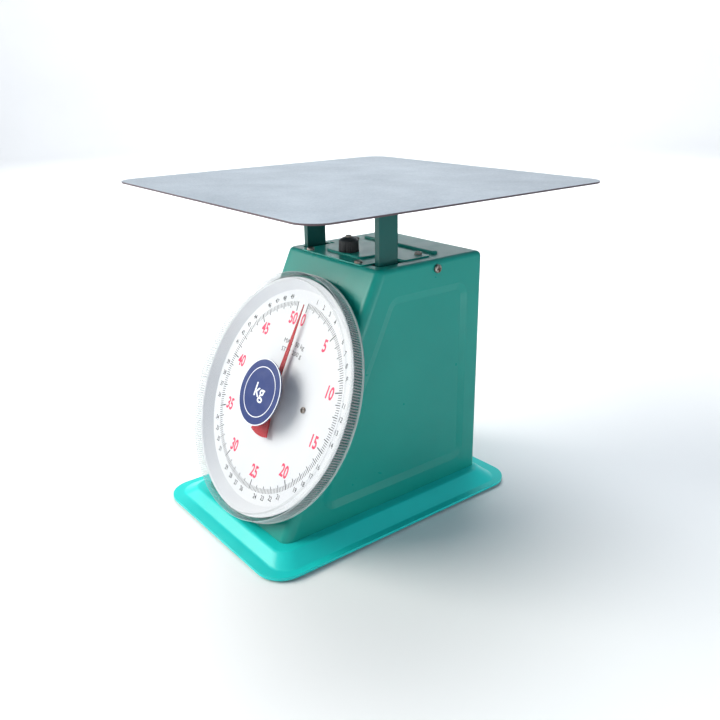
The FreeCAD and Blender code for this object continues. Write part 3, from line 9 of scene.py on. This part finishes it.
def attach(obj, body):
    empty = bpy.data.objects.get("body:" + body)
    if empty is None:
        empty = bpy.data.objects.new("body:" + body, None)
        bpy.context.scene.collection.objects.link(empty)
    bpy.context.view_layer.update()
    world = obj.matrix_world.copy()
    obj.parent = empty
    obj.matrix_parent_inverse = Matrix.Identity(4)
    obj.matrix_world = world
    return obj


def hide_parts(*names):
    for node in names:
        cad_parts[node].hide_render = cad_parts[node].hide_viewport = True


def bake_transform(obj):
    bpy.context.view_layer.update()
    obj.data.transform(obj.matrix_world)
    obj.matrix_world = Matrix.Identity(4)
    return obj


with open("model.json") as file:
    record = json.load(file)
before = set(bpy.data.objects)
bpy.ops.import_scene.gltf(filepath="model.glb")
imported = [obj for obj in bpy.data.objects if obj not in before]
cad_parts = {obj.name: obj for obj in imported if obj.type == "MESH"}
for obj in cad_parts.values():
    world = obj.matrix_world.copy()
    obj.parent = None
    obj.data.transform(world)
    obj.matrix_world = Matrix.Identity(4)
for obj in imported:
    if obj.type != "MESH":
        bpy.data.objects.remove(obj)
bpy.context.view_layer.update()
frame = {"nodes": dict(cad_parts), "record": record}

MM = 0.001
NODES = frame["nodes"]

# ---- camera: position in metres, angles in degrees ----
CAMERA_AT = Vector((0.58308, -0.44603, 0.40918))
CAMERA_YAW = 52.0
CAMERA_PITCH = 20.27
CAMERA_ROLL = -0.89
CAMERA_LENS = 38.64         # on a 36 mm sensor

# ---- dial printing: radii and depths in millimetres from the centre of the dial ----
DIAL_FRONT = 7.3            # front of the white plate, out from the sloping face
INK_HEIGHT = 0.06
KILOGRAMS = 50
STEPS_PER_KILOGRAM = 5
DEGREES_PER_KILOGRAM = 7.0
ZERO_ANGLE = 1.1            # clockwise from straight up
TICK_OUTER = 92.5
TICK_LENGTHS = {"five": 9.3, "one": 6.6, "step": 4.5}
TICK_WIDTHS = {"five": 1.1, "one": 0.85, "step": 0.62}
LARGE_FIGURE_RADIUS = 75.5
LARGE_FIGURE_HEIGHT = 11.5
SMALL_FIGURE_RADIUS = 97.0
SMALL_FIGURE_HEIGHT = 4.6
LAST_FIGURE_SHIFT = 2.0     # degrees the last figure stands back, to clear the zero
NOTE_HEIGHT = 4.4
BADGE_FRONT = 27.7          # front of the blue disc
BADGE_BORDER = (31.0, 31.9)
BADGE_CIRCLE = (23.4, 24.2)
BADGE_UNIT_HEIGHT = 13.0
LENS_EDGE = 119.7           # flange of the clear cover
# where the window ends, the edge line, the bevel's start and end, the ribs' roots and tips
LENS_ZONE_RADII = (110.8, 111.6, 112.6, 116.6, 117.4, 118.4)

# ---- platform sheet colours ----
SHEET_LIGHT = (0.42, 0.475, 0.525)
SHEET_DARK = (0.285, 0.335, 0.385)
# The sheet's cut edges: a dark painted shade, with a low metallic so they show little reflection.
PAINTED_SHADE_EDGE = (0.09, 0.06, 0.07)
SHEET_METALLIC = 0.85
EDGE_METALLIC = 0.1

# ---- studio: metres, watts ----
FLOOR_RADIUS = 4.0
WALL_BEND = 1.2
WALL_TOP = 1.9
SKY_COLOR = (0.74, 0.88, 1.06)
SKY_STRENGTH = 0.32
# name, position, target, size, power, colour
AREA_LIGHTS = (
    ("key", (-1.0, -1.5, 1.3), (0, -0.05, 0.12), (1.7, 1.4), 54.0, (1.0, 0.985, 0.91)),
    ("low", (0.9, 0.1, 0.06), (0.08, 0, 0.05), (0.5, 0.1), 1.0, (0.9, 0.98, 1.0)),
    ("top", (-0.8, 0.5, 2.1), (0, 0, 0.2), (1.4, 1.4), 38.0, (0.97, 0.99, 1.0)),
    ("backdrop", (-1.5, 1.2, 2.2), (-3.5, 2.8, 0.3), (2.0, 2.0), 100.0, (1.0, 1.0, 1.0)),
    ("rear_backdrop", (1.5, -1.2, 2.2), (3.5, -2.8, 0.3), (2.0, 2.0), 50.0, (1.0, 1.0, 1.0)),
)


# ---- the dial's own frame: X right, Y up the slope, Z out of the face ----
def dial_frame():
    """Matrix from dial millimetres to the row frame in metres."""
    spin = next(j for j in frame["record"]["behaviour"]["joints"] if j["name"] == "pointer_spin")
    out = -Vector(spin["axis"])
    right = Vector((1, 0, 0))
    up = out.cross(right)
    matrix = Matrix.Translation(Vector(spin["pos_m"]))
    turn = Matrix((right, up, out)).transposed().to_4x4()
    return matrix @ turn @ Matrix.Scale(MM, 4)


DIAL = dial_frame()


# ---- node helpers for materials ----
class Shader:
    """A material with one Principled shader and the nodes that feed it."""

    def __init__(self, name, color, roughness, metallic=0.0, **inputs):
        self.material = bpy.data.materials.new(name)
        self.material.use_nodes = True
        self.nodes = self.material.node_tree.nodes
        self.links = self.material.node_tree.links
        self.surface = self.nodes["Principled BSDF"]
        self.set("Base Color", (*color, 1.0))
        self.set("Roughness", roughness)
        self.set("Metallic", metallic)
        for key, value in inputs.items():
            self.set(key.replace("_", " "), value)
        self.place = self.nodes.new("ShaderNodeTexCoord").outputs["Object"]

    def set(self, socket, value):
        self.surface.inputs[socket].default_value = value

    def join(self, output, socket):
        self.links.new(output, socket)

    def stretched(self, scale):
        """Object coordinates scaled by a vector, for grain that runs one way."""
        mapping = self.nodes.new("ShaderNodeMapping")
        mapping.inputs["Scale"].default_value = scale
        self.join(self.place, mapping.inputs["Vector"])
        return mapping.outputs["Vector"]

    def noise(self, scale, detail=3.0, roughness=0.5, vector=None):
        """Noise with so many cells to the metre."""
        node = self.nodes.new("ShaderNodeTexNoise")
        node.inputs["Scale"].default_value = scale
        node.inputs["Detail"].default_value = detail
        node.inputs["Roughness"].default_value = roughness
        self.join(vector or self.place, node.inputs["Vector"])
        return node.outputs["Fac"]

    def ramp(self, source, stops):
        """A colour ramp; stops are (position, value or colour)."""
        node = self.nodes.new("ShaderNodeValToRGB")
        elements = node.color_ramp.elements
        for index, (position, value) in enumerate(stops):
            element = elements[index] if index < 2 else elements.new(position)
            element.position = position
            rgb = value if isinstance(value, tuple) else (value, value, value)
            element.color = (*rgb, 1.0)
        self.join(source, node.inputs["Fac"])
        return node.outputs["Color"]

    def mix(self, factor, first, second):
        """Colour mix; first and second are colours or outputs."""
        node = self.nodes.new("ShaderNodeMix")
        node.data_type = "RGBA"
        self.join(factor, node.inputs["Factor"])
        for value, socket in ((first, node.inputs["A"]), (second, node.inputs["B"])):
            if isinstance(value, tuple):
                socket.default_value = (*value, 1.0)
            else:
                self.join(value, socket)
        return node.outputs["Result"]

    def bump(self, height, strength, distance):
        """Adds a bump; distance is in metres."""
        node = self.nodes.new("ShaderNodeBump")
        node.inputs["Strength"].default_value = strength
        node.inputs["Distance"].default_value = distance
        self.join(height, node.inputs["Height"])
        normal = self.surface.inputs["Normal"]
        if normal.is_linked:
            self.join(normal.links[0].from_socket, node.inputs["Normal"])
        self.join(node.outputs["Normal"], normal)


# ---- materials ----
def gloss_paint(name, color, deep, roughness=0.3):
    """Stoved gloss enamel: faint orange peel, an uneven tone and a little dust."""
    shader = Shader(name, color, roughness, Coat_Weight=0.12, Coat_Roughness=0.18, Specular_IOR_Level=0.3)
    tone = shader.ramp(shader.noise(9.0, 4.0), [(0.35, 0.0), (0.7, 1.0)])
    shader.join(shader.mix(tone, deep, color), shader.surface.inputs["Base Color"])
    dust = shader.noise(60.0, 3.0, 0.5)
    shader.join(shader.ramp(dust, [(0.2, roughness - 0.04), (0.8, roughness + 0.06)]),
                shader.surface.inputs["Roughness"])
    shader.bump(shader.noise(420.0, 2.0), 0.05, 0.0003)
    shader.bump(shader.noise(28.0, 2.0), 0.06, 0.0012)
    return shader.material


def satin_sheet():
    """The platform's bright stainless sheet, with a faint grain and handling marks, and painted shade on its
    cut edges.
    """
    shader = Shader("platform_satin_steel", SHEET_LIGHT, 0.34)
    blotch = shader.ramp(shader.noise(16.0, 5.0, 0.6), [(0.3, 0.0), (0.72, 1.0)])
    sheet = shader.mix(blotch, SHEET_DARK, SHEET_LIGHT)
    # The mask is 0 on the sheet's cut edges, which take the dark painted shade.
    flat = shader.ramp(upward_share(shader), [(0.35, 0.0), (0.75, 1.0)])
    shader.join(shader.mix(flat, PAINTED_SHADE_EDGE, sheet), shader.surface.inputs["Base Color"])
    metal = shader.ramp(flat, [(0.0, EDGE_METALLIC), (1.0, SHEET_METALLIC)])
    shader.join(metal, shader.surface.inputs["Metallic"])
    grain = shader.noise(1.0, 3.0, 0.6, shader.stretched((60.0, 900.0, 60.0)))
    speck = shader.noise(520.0, 3.0, 0.7)
    shader.join(shader.ramp(speck, [(0.3, 0.28), (0.75, 0.46)]), shader.surface.inputs["Roughness"])
    shader.bump(grain, 0.10, 0.0003)
    shader.bump(speck, 0.22, 0.0003)
    shader.bump(shader.noise(7.0, 2.0), 0.10, 0.004)
    return shader.material


def upward_share(shader):
    """How much the surface faces straight up or down: 1 on the sheet, 0 on its cut edges."""
    geometry = shader.nodes.new("ShaderNodeNewGeometry")
    parts = shader.nodes.new("ShaderNodeSeparateXYZ")
    shader.join(geometry.outputs["True Normal"], parts.inputs["Vector"])
    size = shader.nodes.new("ShaderNodeMath")
    size.operation = "ABSOLUTE"
    shader.join(parts.outputs["Z"], size.inputs[0])
    return size.outputs["Value"]


def plated_steel(name, color, roughness, stain=(0.22, 0.16, 0.11), amount=0.62):
    """Plated or oiled steel with small stains and a fine drawn grain."""
    shader = Shader(name, color, roughness, metallic=1.0)
    spots = shader.ramp(shader.noise(160.0, 6.0, 0.6), [(amount, 0.0), (amount + 0.14, 1.0)])
    shader.join(shader.mix(spots, color, stain), shader.surface.inputs["Base Color"])
    grain = shader.noise(700.0, 3.0, 0.6)
    shader.join(shader.ramp(grain, [(0.3, roughness - 0.08), (0.75, roughness + 0.12)]),
                shader.surface.inputs["Roughness"])
    shader.bump(grain, 0.2, 0.0002)
    return shader.material


def dial_enamel():
    """The white dial plate: smooth satin enamel with a very faint mottle."""
    shader = Shader("dial_white_enamel", (0.68, 0.69, 0.725), 0.42, Coat_Weight=0.2, Coat_Roughness=0.25)
    mottle = shader.ramp(shader.noise(22.0, 4.0), [(0.3, 0.0), (0.75, 1.0)])
    enamel = shader.mix(mottle, (0.65, 0.665, 0.705), (0.70, 0.705, 0.73))
    shader.join(enamel, shader.surface.inputs["Base Color"])
    shader.bump(shader.noise(350.0, 2.0), 0.08, 0.0002)
    return shader.material


def clear_plastic():
    """Moulded clear plastic: a clean window, a hazy bevel and a milky ribbed wall, with painted shade as a
    dark line at the window's edge and at the ribs' roots.

    The zones are rings about the pointer's axis, so each is a ramp over the radius.
    """
    shader = Shader("dial_clear_plastic", (0.5, 0.53, 0.54), 0.08, Specular_IOR_Level=0.5)
    radius = distance_from_dial_axis(shader)
    # The edge line and the ribs' roots are painted dark: painted shade at the window's rim and in the
    # grooves between the ribs.
    lens_colours_with_painted_shade = lens_zones(
        window=(0.5, 0.53, 0.54), edge=(0.26, 0.29, 0.30), bevel=(0.62, 0.66, 0.67),
        rib_root=(0.20, 0.25, 0.25), rib_tip=(0.72, 0.76, 0.77))
    shader.join(shader.ramp(radius, lens_colours_with_painted_shade), shader.surface.inputs["Base Color"])
    hazes = lens_zones(window=0.015, edge=0.30, bevel=0.10, rib_root=0.20, rib_tip=0.55)
    haze = shader.ramp(radius, hazes)
    smear = shader.ramp(shader.noise(40.0, 5.0, 0.65), [(0.4, 0.85), (0.8, 1.0)])
    shader.join(multiplied(shader, haze, smear), shader.surface.inputs["Alpha"])
    roughnesses = lens_zones(window=0.08, edge=0.2, bevel=0.12, rib_root=0.3, rib_tip=0.35)
    shader.join(shader.ramp(radius, roughnesses), shader.surface.inputs["Roughness"])
    shader.bump(shader.noise(6.0, 2.0), 0.05, 0.002)
    return shader.material


def lens_zones(window, edge, bevel, rib_root, rib_tip):
    """Ramp stops with a value for each ring of the cover, from the window out to the ribs' tips."""
    values = (window, edge, bevel, bevel, rib_root, rib_tip)
    return [(radius / LENS_EDGE, value) for radius, value in zip(LENS_ZONE_RADII, values)]


def multiplied(shader, first, second):
    """The product of two shader values."""
    node = shader.nodes.new("ShaderNodeMath")
    node.operation = "MULTIPLY"
    shader.join(first, node.inputs[0])
    shader.join(second, node.inputs[1])
    return node.outputs["Value"]


def distance_from_dial_axis(shader):
    """Distance from the pointer's axis, as a share of LENS_EDGE."""
    inverse = DIAL.inverted()
    mapping = shader.nodes.new("ShaderNodeMapping")
    mapping.inputs["Location"].default_value = inverse.to_translation() / LENS_EDGE
    mapping.inputs["Rotation"].default_value = inverse.to_euler()
    mapping.inputs["Scale"].default_value = inverse.to_scale() / LENS_EDGE
    shader.join(shader.place, mapping.inputs["Vector"])
    flat = shader.nodes.new("ShaderNodeVectorMath")
    flat.operation = "MULTIPLY"
    flat.inputs[1].default_value = (1.0, 1.0, 0.0)
    shader.join(mapping.outputs["Vector"], flat.inputs[0])
    length = shader.nodes.new("ShaderNodeVectorMath")
    length.operation = "LENGTH"
    shader.join(flat.outputs["Vector"], length.inputs[0])
    return length.outputs["Value"]


def printed_ink(name, color):
    """Screen-printed ink: slightly uneven and semi-gloss."""
    shader = Shader(name, color, 0.5)
    uneven = shader.ramp(shader.noise(600.0, 3.0), [(0.35, 0.0), (0.8, 1.0)])
    faded = tuple(c * 0.9 + 0.03 for c in color)
    shader.join(shader.mix(uneven, color, faded), shader.surface.inputs["Base Color"])
    shader.bump(shader.noise(900.0, 2.0), 0.1, 0.0001)
    return shader.material


def moulded(name, color, roughness, grain=800.0, strength=0.25):
    """Moulded plastic or rubber with a fine skin texture and dusty patches."""
    shader = Shader(name, color, roughness)
    dusty = tuple(c + 0.02 for c in color)
    patches = shader.ramp(shader.noise(90.0, 5.0), [(0.45, 0.0), (0.8, 1.0)])
    shader.join(shader.mix(patches, color, dusty), shader.surface.inputs["Base Color"])
    shader.bump(shader.noise(grain, 3.0), strength, 0.0003)
    return shader.material


def brass(name):
    """Rolled brass with a drawn grain and patches of tarnish."""
    shader = Shader(name, (0.72, 0.53, 0.24), 0.32, metallic=1.0)
    tarnish = shader.ramp(shader.noise(60.0, 5.0), [(0.4, 0.0), (0.75, 1.0)])
    metal = shader.mix(tarnish, (0.74, 0.55, 0.26), (0.42, 0.29, 0.13))
    shader.join(metal, shader.surface.inputs["Base Color"])
    grain = shader.noise(1.0, 3.0, 0.6, shader.stretched((1500.0, 120.0, 120.0)))
    shader.bump(grain, 0.15, 0.0002)
    return shader.material


MATERIALS = {
    "green_paint": gloss_paint("body_green_enamel", (0.006, 0.305, 0.25), (0.004, 0.275, 0.228)),
    "turquoise_paint": gloss_paint("base_turquoise_enamel", (0.016, 0.68, 0.635), (0.012, 0.61, 0.57), 0.34),
    "works_paint": gloss_paint("works_dark_enamel", (0.01, 0.09, 0.08), (0.008, 0.07, 0.065), 0.45),
    "platform_steel": satin_sheet(),
    "zinc_steel": plated_steel("zinc_plated_steel", (0.60, 0.61, 0.62), 0.33),
    "spring_steel": plated_steel("oiled_spring_steel", (0.30, 0.31, 0.33), 0.3, (0.12, 0.08, 0.05), 0.58),
    "screw_steel": plated_steel("aged_screw_steel", (0.34, 0.30, 0.27), 0.36, (0.17, 0.09, 0.05), 0.5),
    "brass": brass("works_brass"),
    "dial_white": dial_enamel(),
    "pointer_red": gloss_paint("pointer_red_enamel", (0.44, 0.012, 0.022), (0.39, 0.01, 0.018), 0.45),
    "badge_blue": moulded("badge_blue_plastic", (0.012, 0.032, 0.16), 0.3, 400.0, 0.08),
    "clear_plastic": clear_plastic(),
    "black_plastic": moulded("knob_black_plastic", (0.012, 0.013, 0.015), 0.38),
    "rubber": moulded("black_rubber", (0.02, 0.02, 0.021), 0.7),
}
RED_INK = printed_ink("dial_red_ink", (0.72, 0.025, 0.105))
BLACK_INK = printed_ink("dial_black_ink", (0.022, 0.022, 0.028))
WHITE_INK = printed_ink("badge_white_ink", (0.85, 0.87, 0.9))

# The posts take a darker copy of the green enamel: painted shade for the shadow they stand in under the
# platform.
SHADED_POST_ENAMEL = gloss_paint("post_green_enamel_painted_shade", (0.003, 0.10, 0.088), (0.002, 0.085, 0.075))
POSTS = ("post_left", "post_right")

# Each part takes its slot's material; the posts take the painted-shade copy instead.
for subpart in frame["record"]["subparts"]:
    node = NODES[subpart["node"]]
    look = SHADED_POST_ENAMEL if subpart["node"] in POSTS else MATERIALS[subpart["material_slot"]]
    node.data.materials.clear()
    node.data.materials.append(look)


# ---- pieces ----
def add_piece(name, mesh, material, body):
    """Makes a piece from a mesh and lets it ride on a body."""
    piece = bpy.data.objects.new(name, mesh)
    bpy.context.scene.collection.objects.link(piece)
    mesh.materials.append(material)
    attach(piece, body)
    return piece


def add_bar(mesh, angle, inner, outer, width, depth, thickness):
    """Adds one thin radial bar, its angle clockwise from straight up."""
    across = width / 2.0
    corners = [(-across, inner), (across, inner), (across, outer), (-across, outer)]
    turn = Matrix.Rotation(-angle, 4, "Z")
    rings = []
    for z in (depth, depth + thickness):
        rings.append([mesh.verts.new(DIAL @ turn @ Vector((x, y, z))) for x, y in corners])
    back, front = rings
    mesh.faces.new(back[::-1])
    mesh.faces.new(front)
    for i in range(4):
        j = (i + 1) % 4
        mesh.faces.new((back[i], back[j], front[j], front[i]))


def dial_angle(kilograms):
    """Angle of a load on the dial, clockwise from straight up, in radians."""
    return math.radians(ZERO_ANGLE + DEGREES_PER_KILOGRAM * kilograms)


def make_graduations():
    mesh = bmesh.new()
    for step in range(KILOGRAMS * STEPS_PER_KILOGRAM + 1):
        if step % (5 * STEPS_PER_KILOGRAM) == 0:
            kind = "five"
        elif step % STEPS_PER_KILOGRAM == 0:
            kind = "one"
        else:
            kind = "step"
        angle = dial_angle(step / STEPS_PER_KILOGRAM)
        inner = TICK_OUTER - TICK_LENGTHS[kind]
        add_bar(mesh, angle, inner, TICK_OUTER, TICK_WIDTHS[kind], DIAL_FRONT, INK_HEIGHT)
    data = bpy.data.meshes.new("dial_graduations")
    mesh.to_mesh(data)
    mesh.free()
    add_piece("dial_graduations", data, BLACK_INK, "housing")


def add_lettering(name, text, x, y, depth, height, material, narrow=1.0, bold=0.0):
    """Raised printing on the dial, centred at (x, y) in dial millimetres."""
    curve = bpy.data.curves.new(name, "FONT")
    curve.body = text
    curve.size = height / 0.7
    curve.align_x = "CENTER"
    curve.align_y = "CENTER"
    curve.offset = bold
    curve.extrude = INK_HEIGHT / 2.0
    curve.resolution_u = 4
    letters = bpy.data.objects.new(name, curve)
    bpy.context.scene.collection.objects.link(letters)
    squeeze = Matrix.Diagonal((narrow, 1.0, 1.0, 1.0))
    letters.matrix_world = DIAL @ Matrix.Translation((x, y, depth + INK_HEIGHT / 2.0)) @ squeeze
    curve.materials.append(material)
    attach(letters, "housing")
    return letters


def make_figures():
    """Large figures every five kilograms inside the graduations, small ones outside."""
    for kilograms in range(0, KILOGRAMS + 1, 5):
        angle = dial_angle(kilograms)
        if kilograms == KILOGRAMS:
            angle -= math.radians(LAST_FIGURE_SHIFT)
        x = LARGE_FIGURE_RADIUS * math.sin(angle)
        y = LARGE_FIGURE_RADIUS * math.cos(angle)
        add_lettering("figure_%02d" % kilograms, str(kilograms), x, y, DIAL_FRONT, LARGE_FIGURE_HEIGHT,
                      RED_INK, 0.72, 0.45)
    for kilograms in range(1, KILOGRAMS):
        if kilograms % 5:
            angle = dial_angle(kilograms)
            x = SMALL_FIGURE_RADIUS * math.sin(angle)
            y = SMALL_FIGURE_RADIUS * math.cos(angle)
            add_lettering("small_figure_%02d" % kilograms, str(kilograms), x, y, DIAL_FRONT,
                          SMALL_FIGURE_HEIGHT, BLACK_INK, 0.8, 0.1)


def ring_mesh(name, inner, outer, back, front, segments=128):
    """A flat ring of rectangular section about the dial's axis."""
    mesh = bmesh.new()
    section = [(inner, back), (outer, back), (outer, front), (inner, front)]
    rings = []
    for i in range(segments):
        angle = 2.0 * math.pi * i / segments
        points = [Vector((radius * math.cos(angle), radius * math.sin(angle), z)) for radius, z in section]
        rings.append([mesh.verts.new(DIAL @ point) for point in points])
    for i in range(segments):
        here, there = rings[i], rings[(i + 1) % segments]
        for j in range(4):
            k = (j + 1) % 4
            mesh.faces.new((here[j], there[j], there[k], here[k]))
    bmesh.ops.recalc_face_normals(mesh, faces=mesh.faces)
    data = bpy.data.meshes.new(name)
    mesh.to_mesh(data)
    mesh.free()
    return data


def make_badge_print():
    border = ring_mesh("badge_border", *BADGE_BORDER, BADGE_FRONT - 0.5, BADGE_FRONT + INK_HEIGHT)
    add_piece("badge_border", border, WHITE_INK, "housing")
    circle = ring_mesh("badge_circle", *BADGE_CIRCLE, BADGE_FRONT, BADGE_FRONT + INK_HEIGHT)
    add_piece("badge_circle", circle, WHITE_INK, "housing")
    add_lettering("badge_unit", "kg", 0.0, 0.5, BADGE_FRONT, BADGE_UNIT_HEIGHT, WHITE_INK, 1.0, 0.2)


def make_notes():
    """The dial's plain working notes: its greatest load and its smallest division."""
    add_lettering("note_load", "MAX  50 kg", 0.0, 52.0, DIAL_FRONT, NOTE_HEIGHT, BLACK_INK, 1.1)
    add_lettering("note_step", "STEP  200 g", 0.0, 43.5, DIAL_FRONT, NOTE_HEIGHT, BLACK_INK, 1.1)


make_graduations()
make_figures()
make_badge_print()
make_notes()


# ---- springs hang between the hanger's end in the housing and the load carriage; each coil is copied whole ----
def make_spring(side):
    """A copy of one coil, with the original part hidden."""
    name = "spring_" + side
    coil = NODES[name].copy()
    coil.data = NODES[name].data.copy()
    coil.name = "stretching_" + name
    coil.parent = None
    bpy.context.scene.collection.objects.link(coil)
    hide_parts(name)
    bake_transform(coil)


for spring_side in ("left", "right"):
    make_spring(spring_side)


# ---- camera ----
def make_camera():
    """The camera, placed by its position, its heading and its tilt."""
    yaw, pitch, roll = (math.radians(a) for a in (CAMERA_YAW, CAMERA_PITCH, CAMERA_ROLL))
    back = Vector((math.sin(yaw) * math.cos(pitch), -math.cos(yaw) * math.cos(pitch), math.sin(pitch)))
    level = Vector((math.cos(yaw), math.sin(yaw), 0.0))
    upright = back.cross(level)
    right = level * math.cos(roll) + upright * math.sin(roll)
    up = upright * math.cos(roll) - level * math.sin(roll)
    data = bpy.data.cameras.new("photo_camera")
    data.lens = CAMERA_LENS
    data.sensor_width = 36.0
    camera = bpy.data.objects.new("photo_camera", data)
    turn = Matrix((right, up, back)).transposed().to_4x4()
    camera.matrix_world = Matrix.Translation(CAMERA_AT) @ turn
    bpy.context.scene.collection.objects.link(camera)
    bpy.context.scene.camera = camera


# ---- studio ----
def area_light(name, position, target, size, power, color):
    """A rectangular light at a position, turned towards a target."""
    data = bpy.data.lights.new(name, "AREA")
    data.shape = "RECTANGLE"
    data.size, data.size_y = size
    data.energy = power
    data.color = color
    light = bpy.data.objects.new(name, data)
    light.location = position
    light.rotation_euler = (Vector(target) - Vector(position)).to_track_quat("-Z", "Y").to_euler()
    bpy.context.scene.collection.objects.link(light)


def make_backdrop():
    """A pale floor that curves up into a low wall all round, far outside the views."""
    mesh = bmesh.new()
    profile = [(0.0, 0.0), (1.0, 0.0), (FLOOR_RADIUS, 0.0)]
    for step in range(1, 13):
        angle = math.radians(90.0 * step / 12)
        profile.append((FLOOR_RADIUS + WALL_BEND * math.sin(angle), WALL_BEND * (1.0 - math.cos(angle))))
    profile.append((FLOOR_RADIUS + WALL_BEND, WALL_TOP))
    verts = [mesh.verts.new((radius, 0.0, z)) for radius, z in profile]
    edges = [mesh.edges.new(pair) for pair in zip(verts, verts[1:])]
    bmesh.ops.spin(mesh, geom=verts + edges, axis=(0, 0, 1), cent=(0, 0, 0),
                   angle=2 * math.pi, steps=96, use_merge=True)
    bmesh.ops.remove_doubles(mesh, verts=mesh.verts, dist=0.0001)
    bmesh.ops.recalc_face_normals(mesh, faces=mesh.faces)
    data = bpy.data.meshes.new("studio_floor")
    mesh.to_mesh(data)
    mesh.free()
    data.shade_smooth()
    floor = bpy.data.objects.new("studio_floor", data)
    bpy.context.scene.collection.objects.link(floor)
    shader = Shader("studio_floor", (0.9, 0.9, 0.9), 0.8)
    paper = shader.ramp(shader.noise(2.0), [(0.3, 0.88), (0.8, 0.91)])
    shader.join(paper, shader.surface.inputs["Base Color"])
    data.materials.append(shader.material)


def make_studio():
    """The backdrop, a soft bluish sky and the area lights."""
    make_backdrop()
    world = bpy.data.worlds.new("studio_world")
    bpy.context.scene.world = world
    world.use_nodes = True
    background = world.node_tree.nodes["Background"]
    background.inputs["Color"].default_value = (*SKY_COLOR, 1.0)
    background.inputs["Strength"].default_value = SKY_STRENGTH
    for light in AREA_LIGHTS:
        area_light(*light)
    bpy.context.scene.view_settings.view_transform = "Standard"


make_camera()
make_studio()
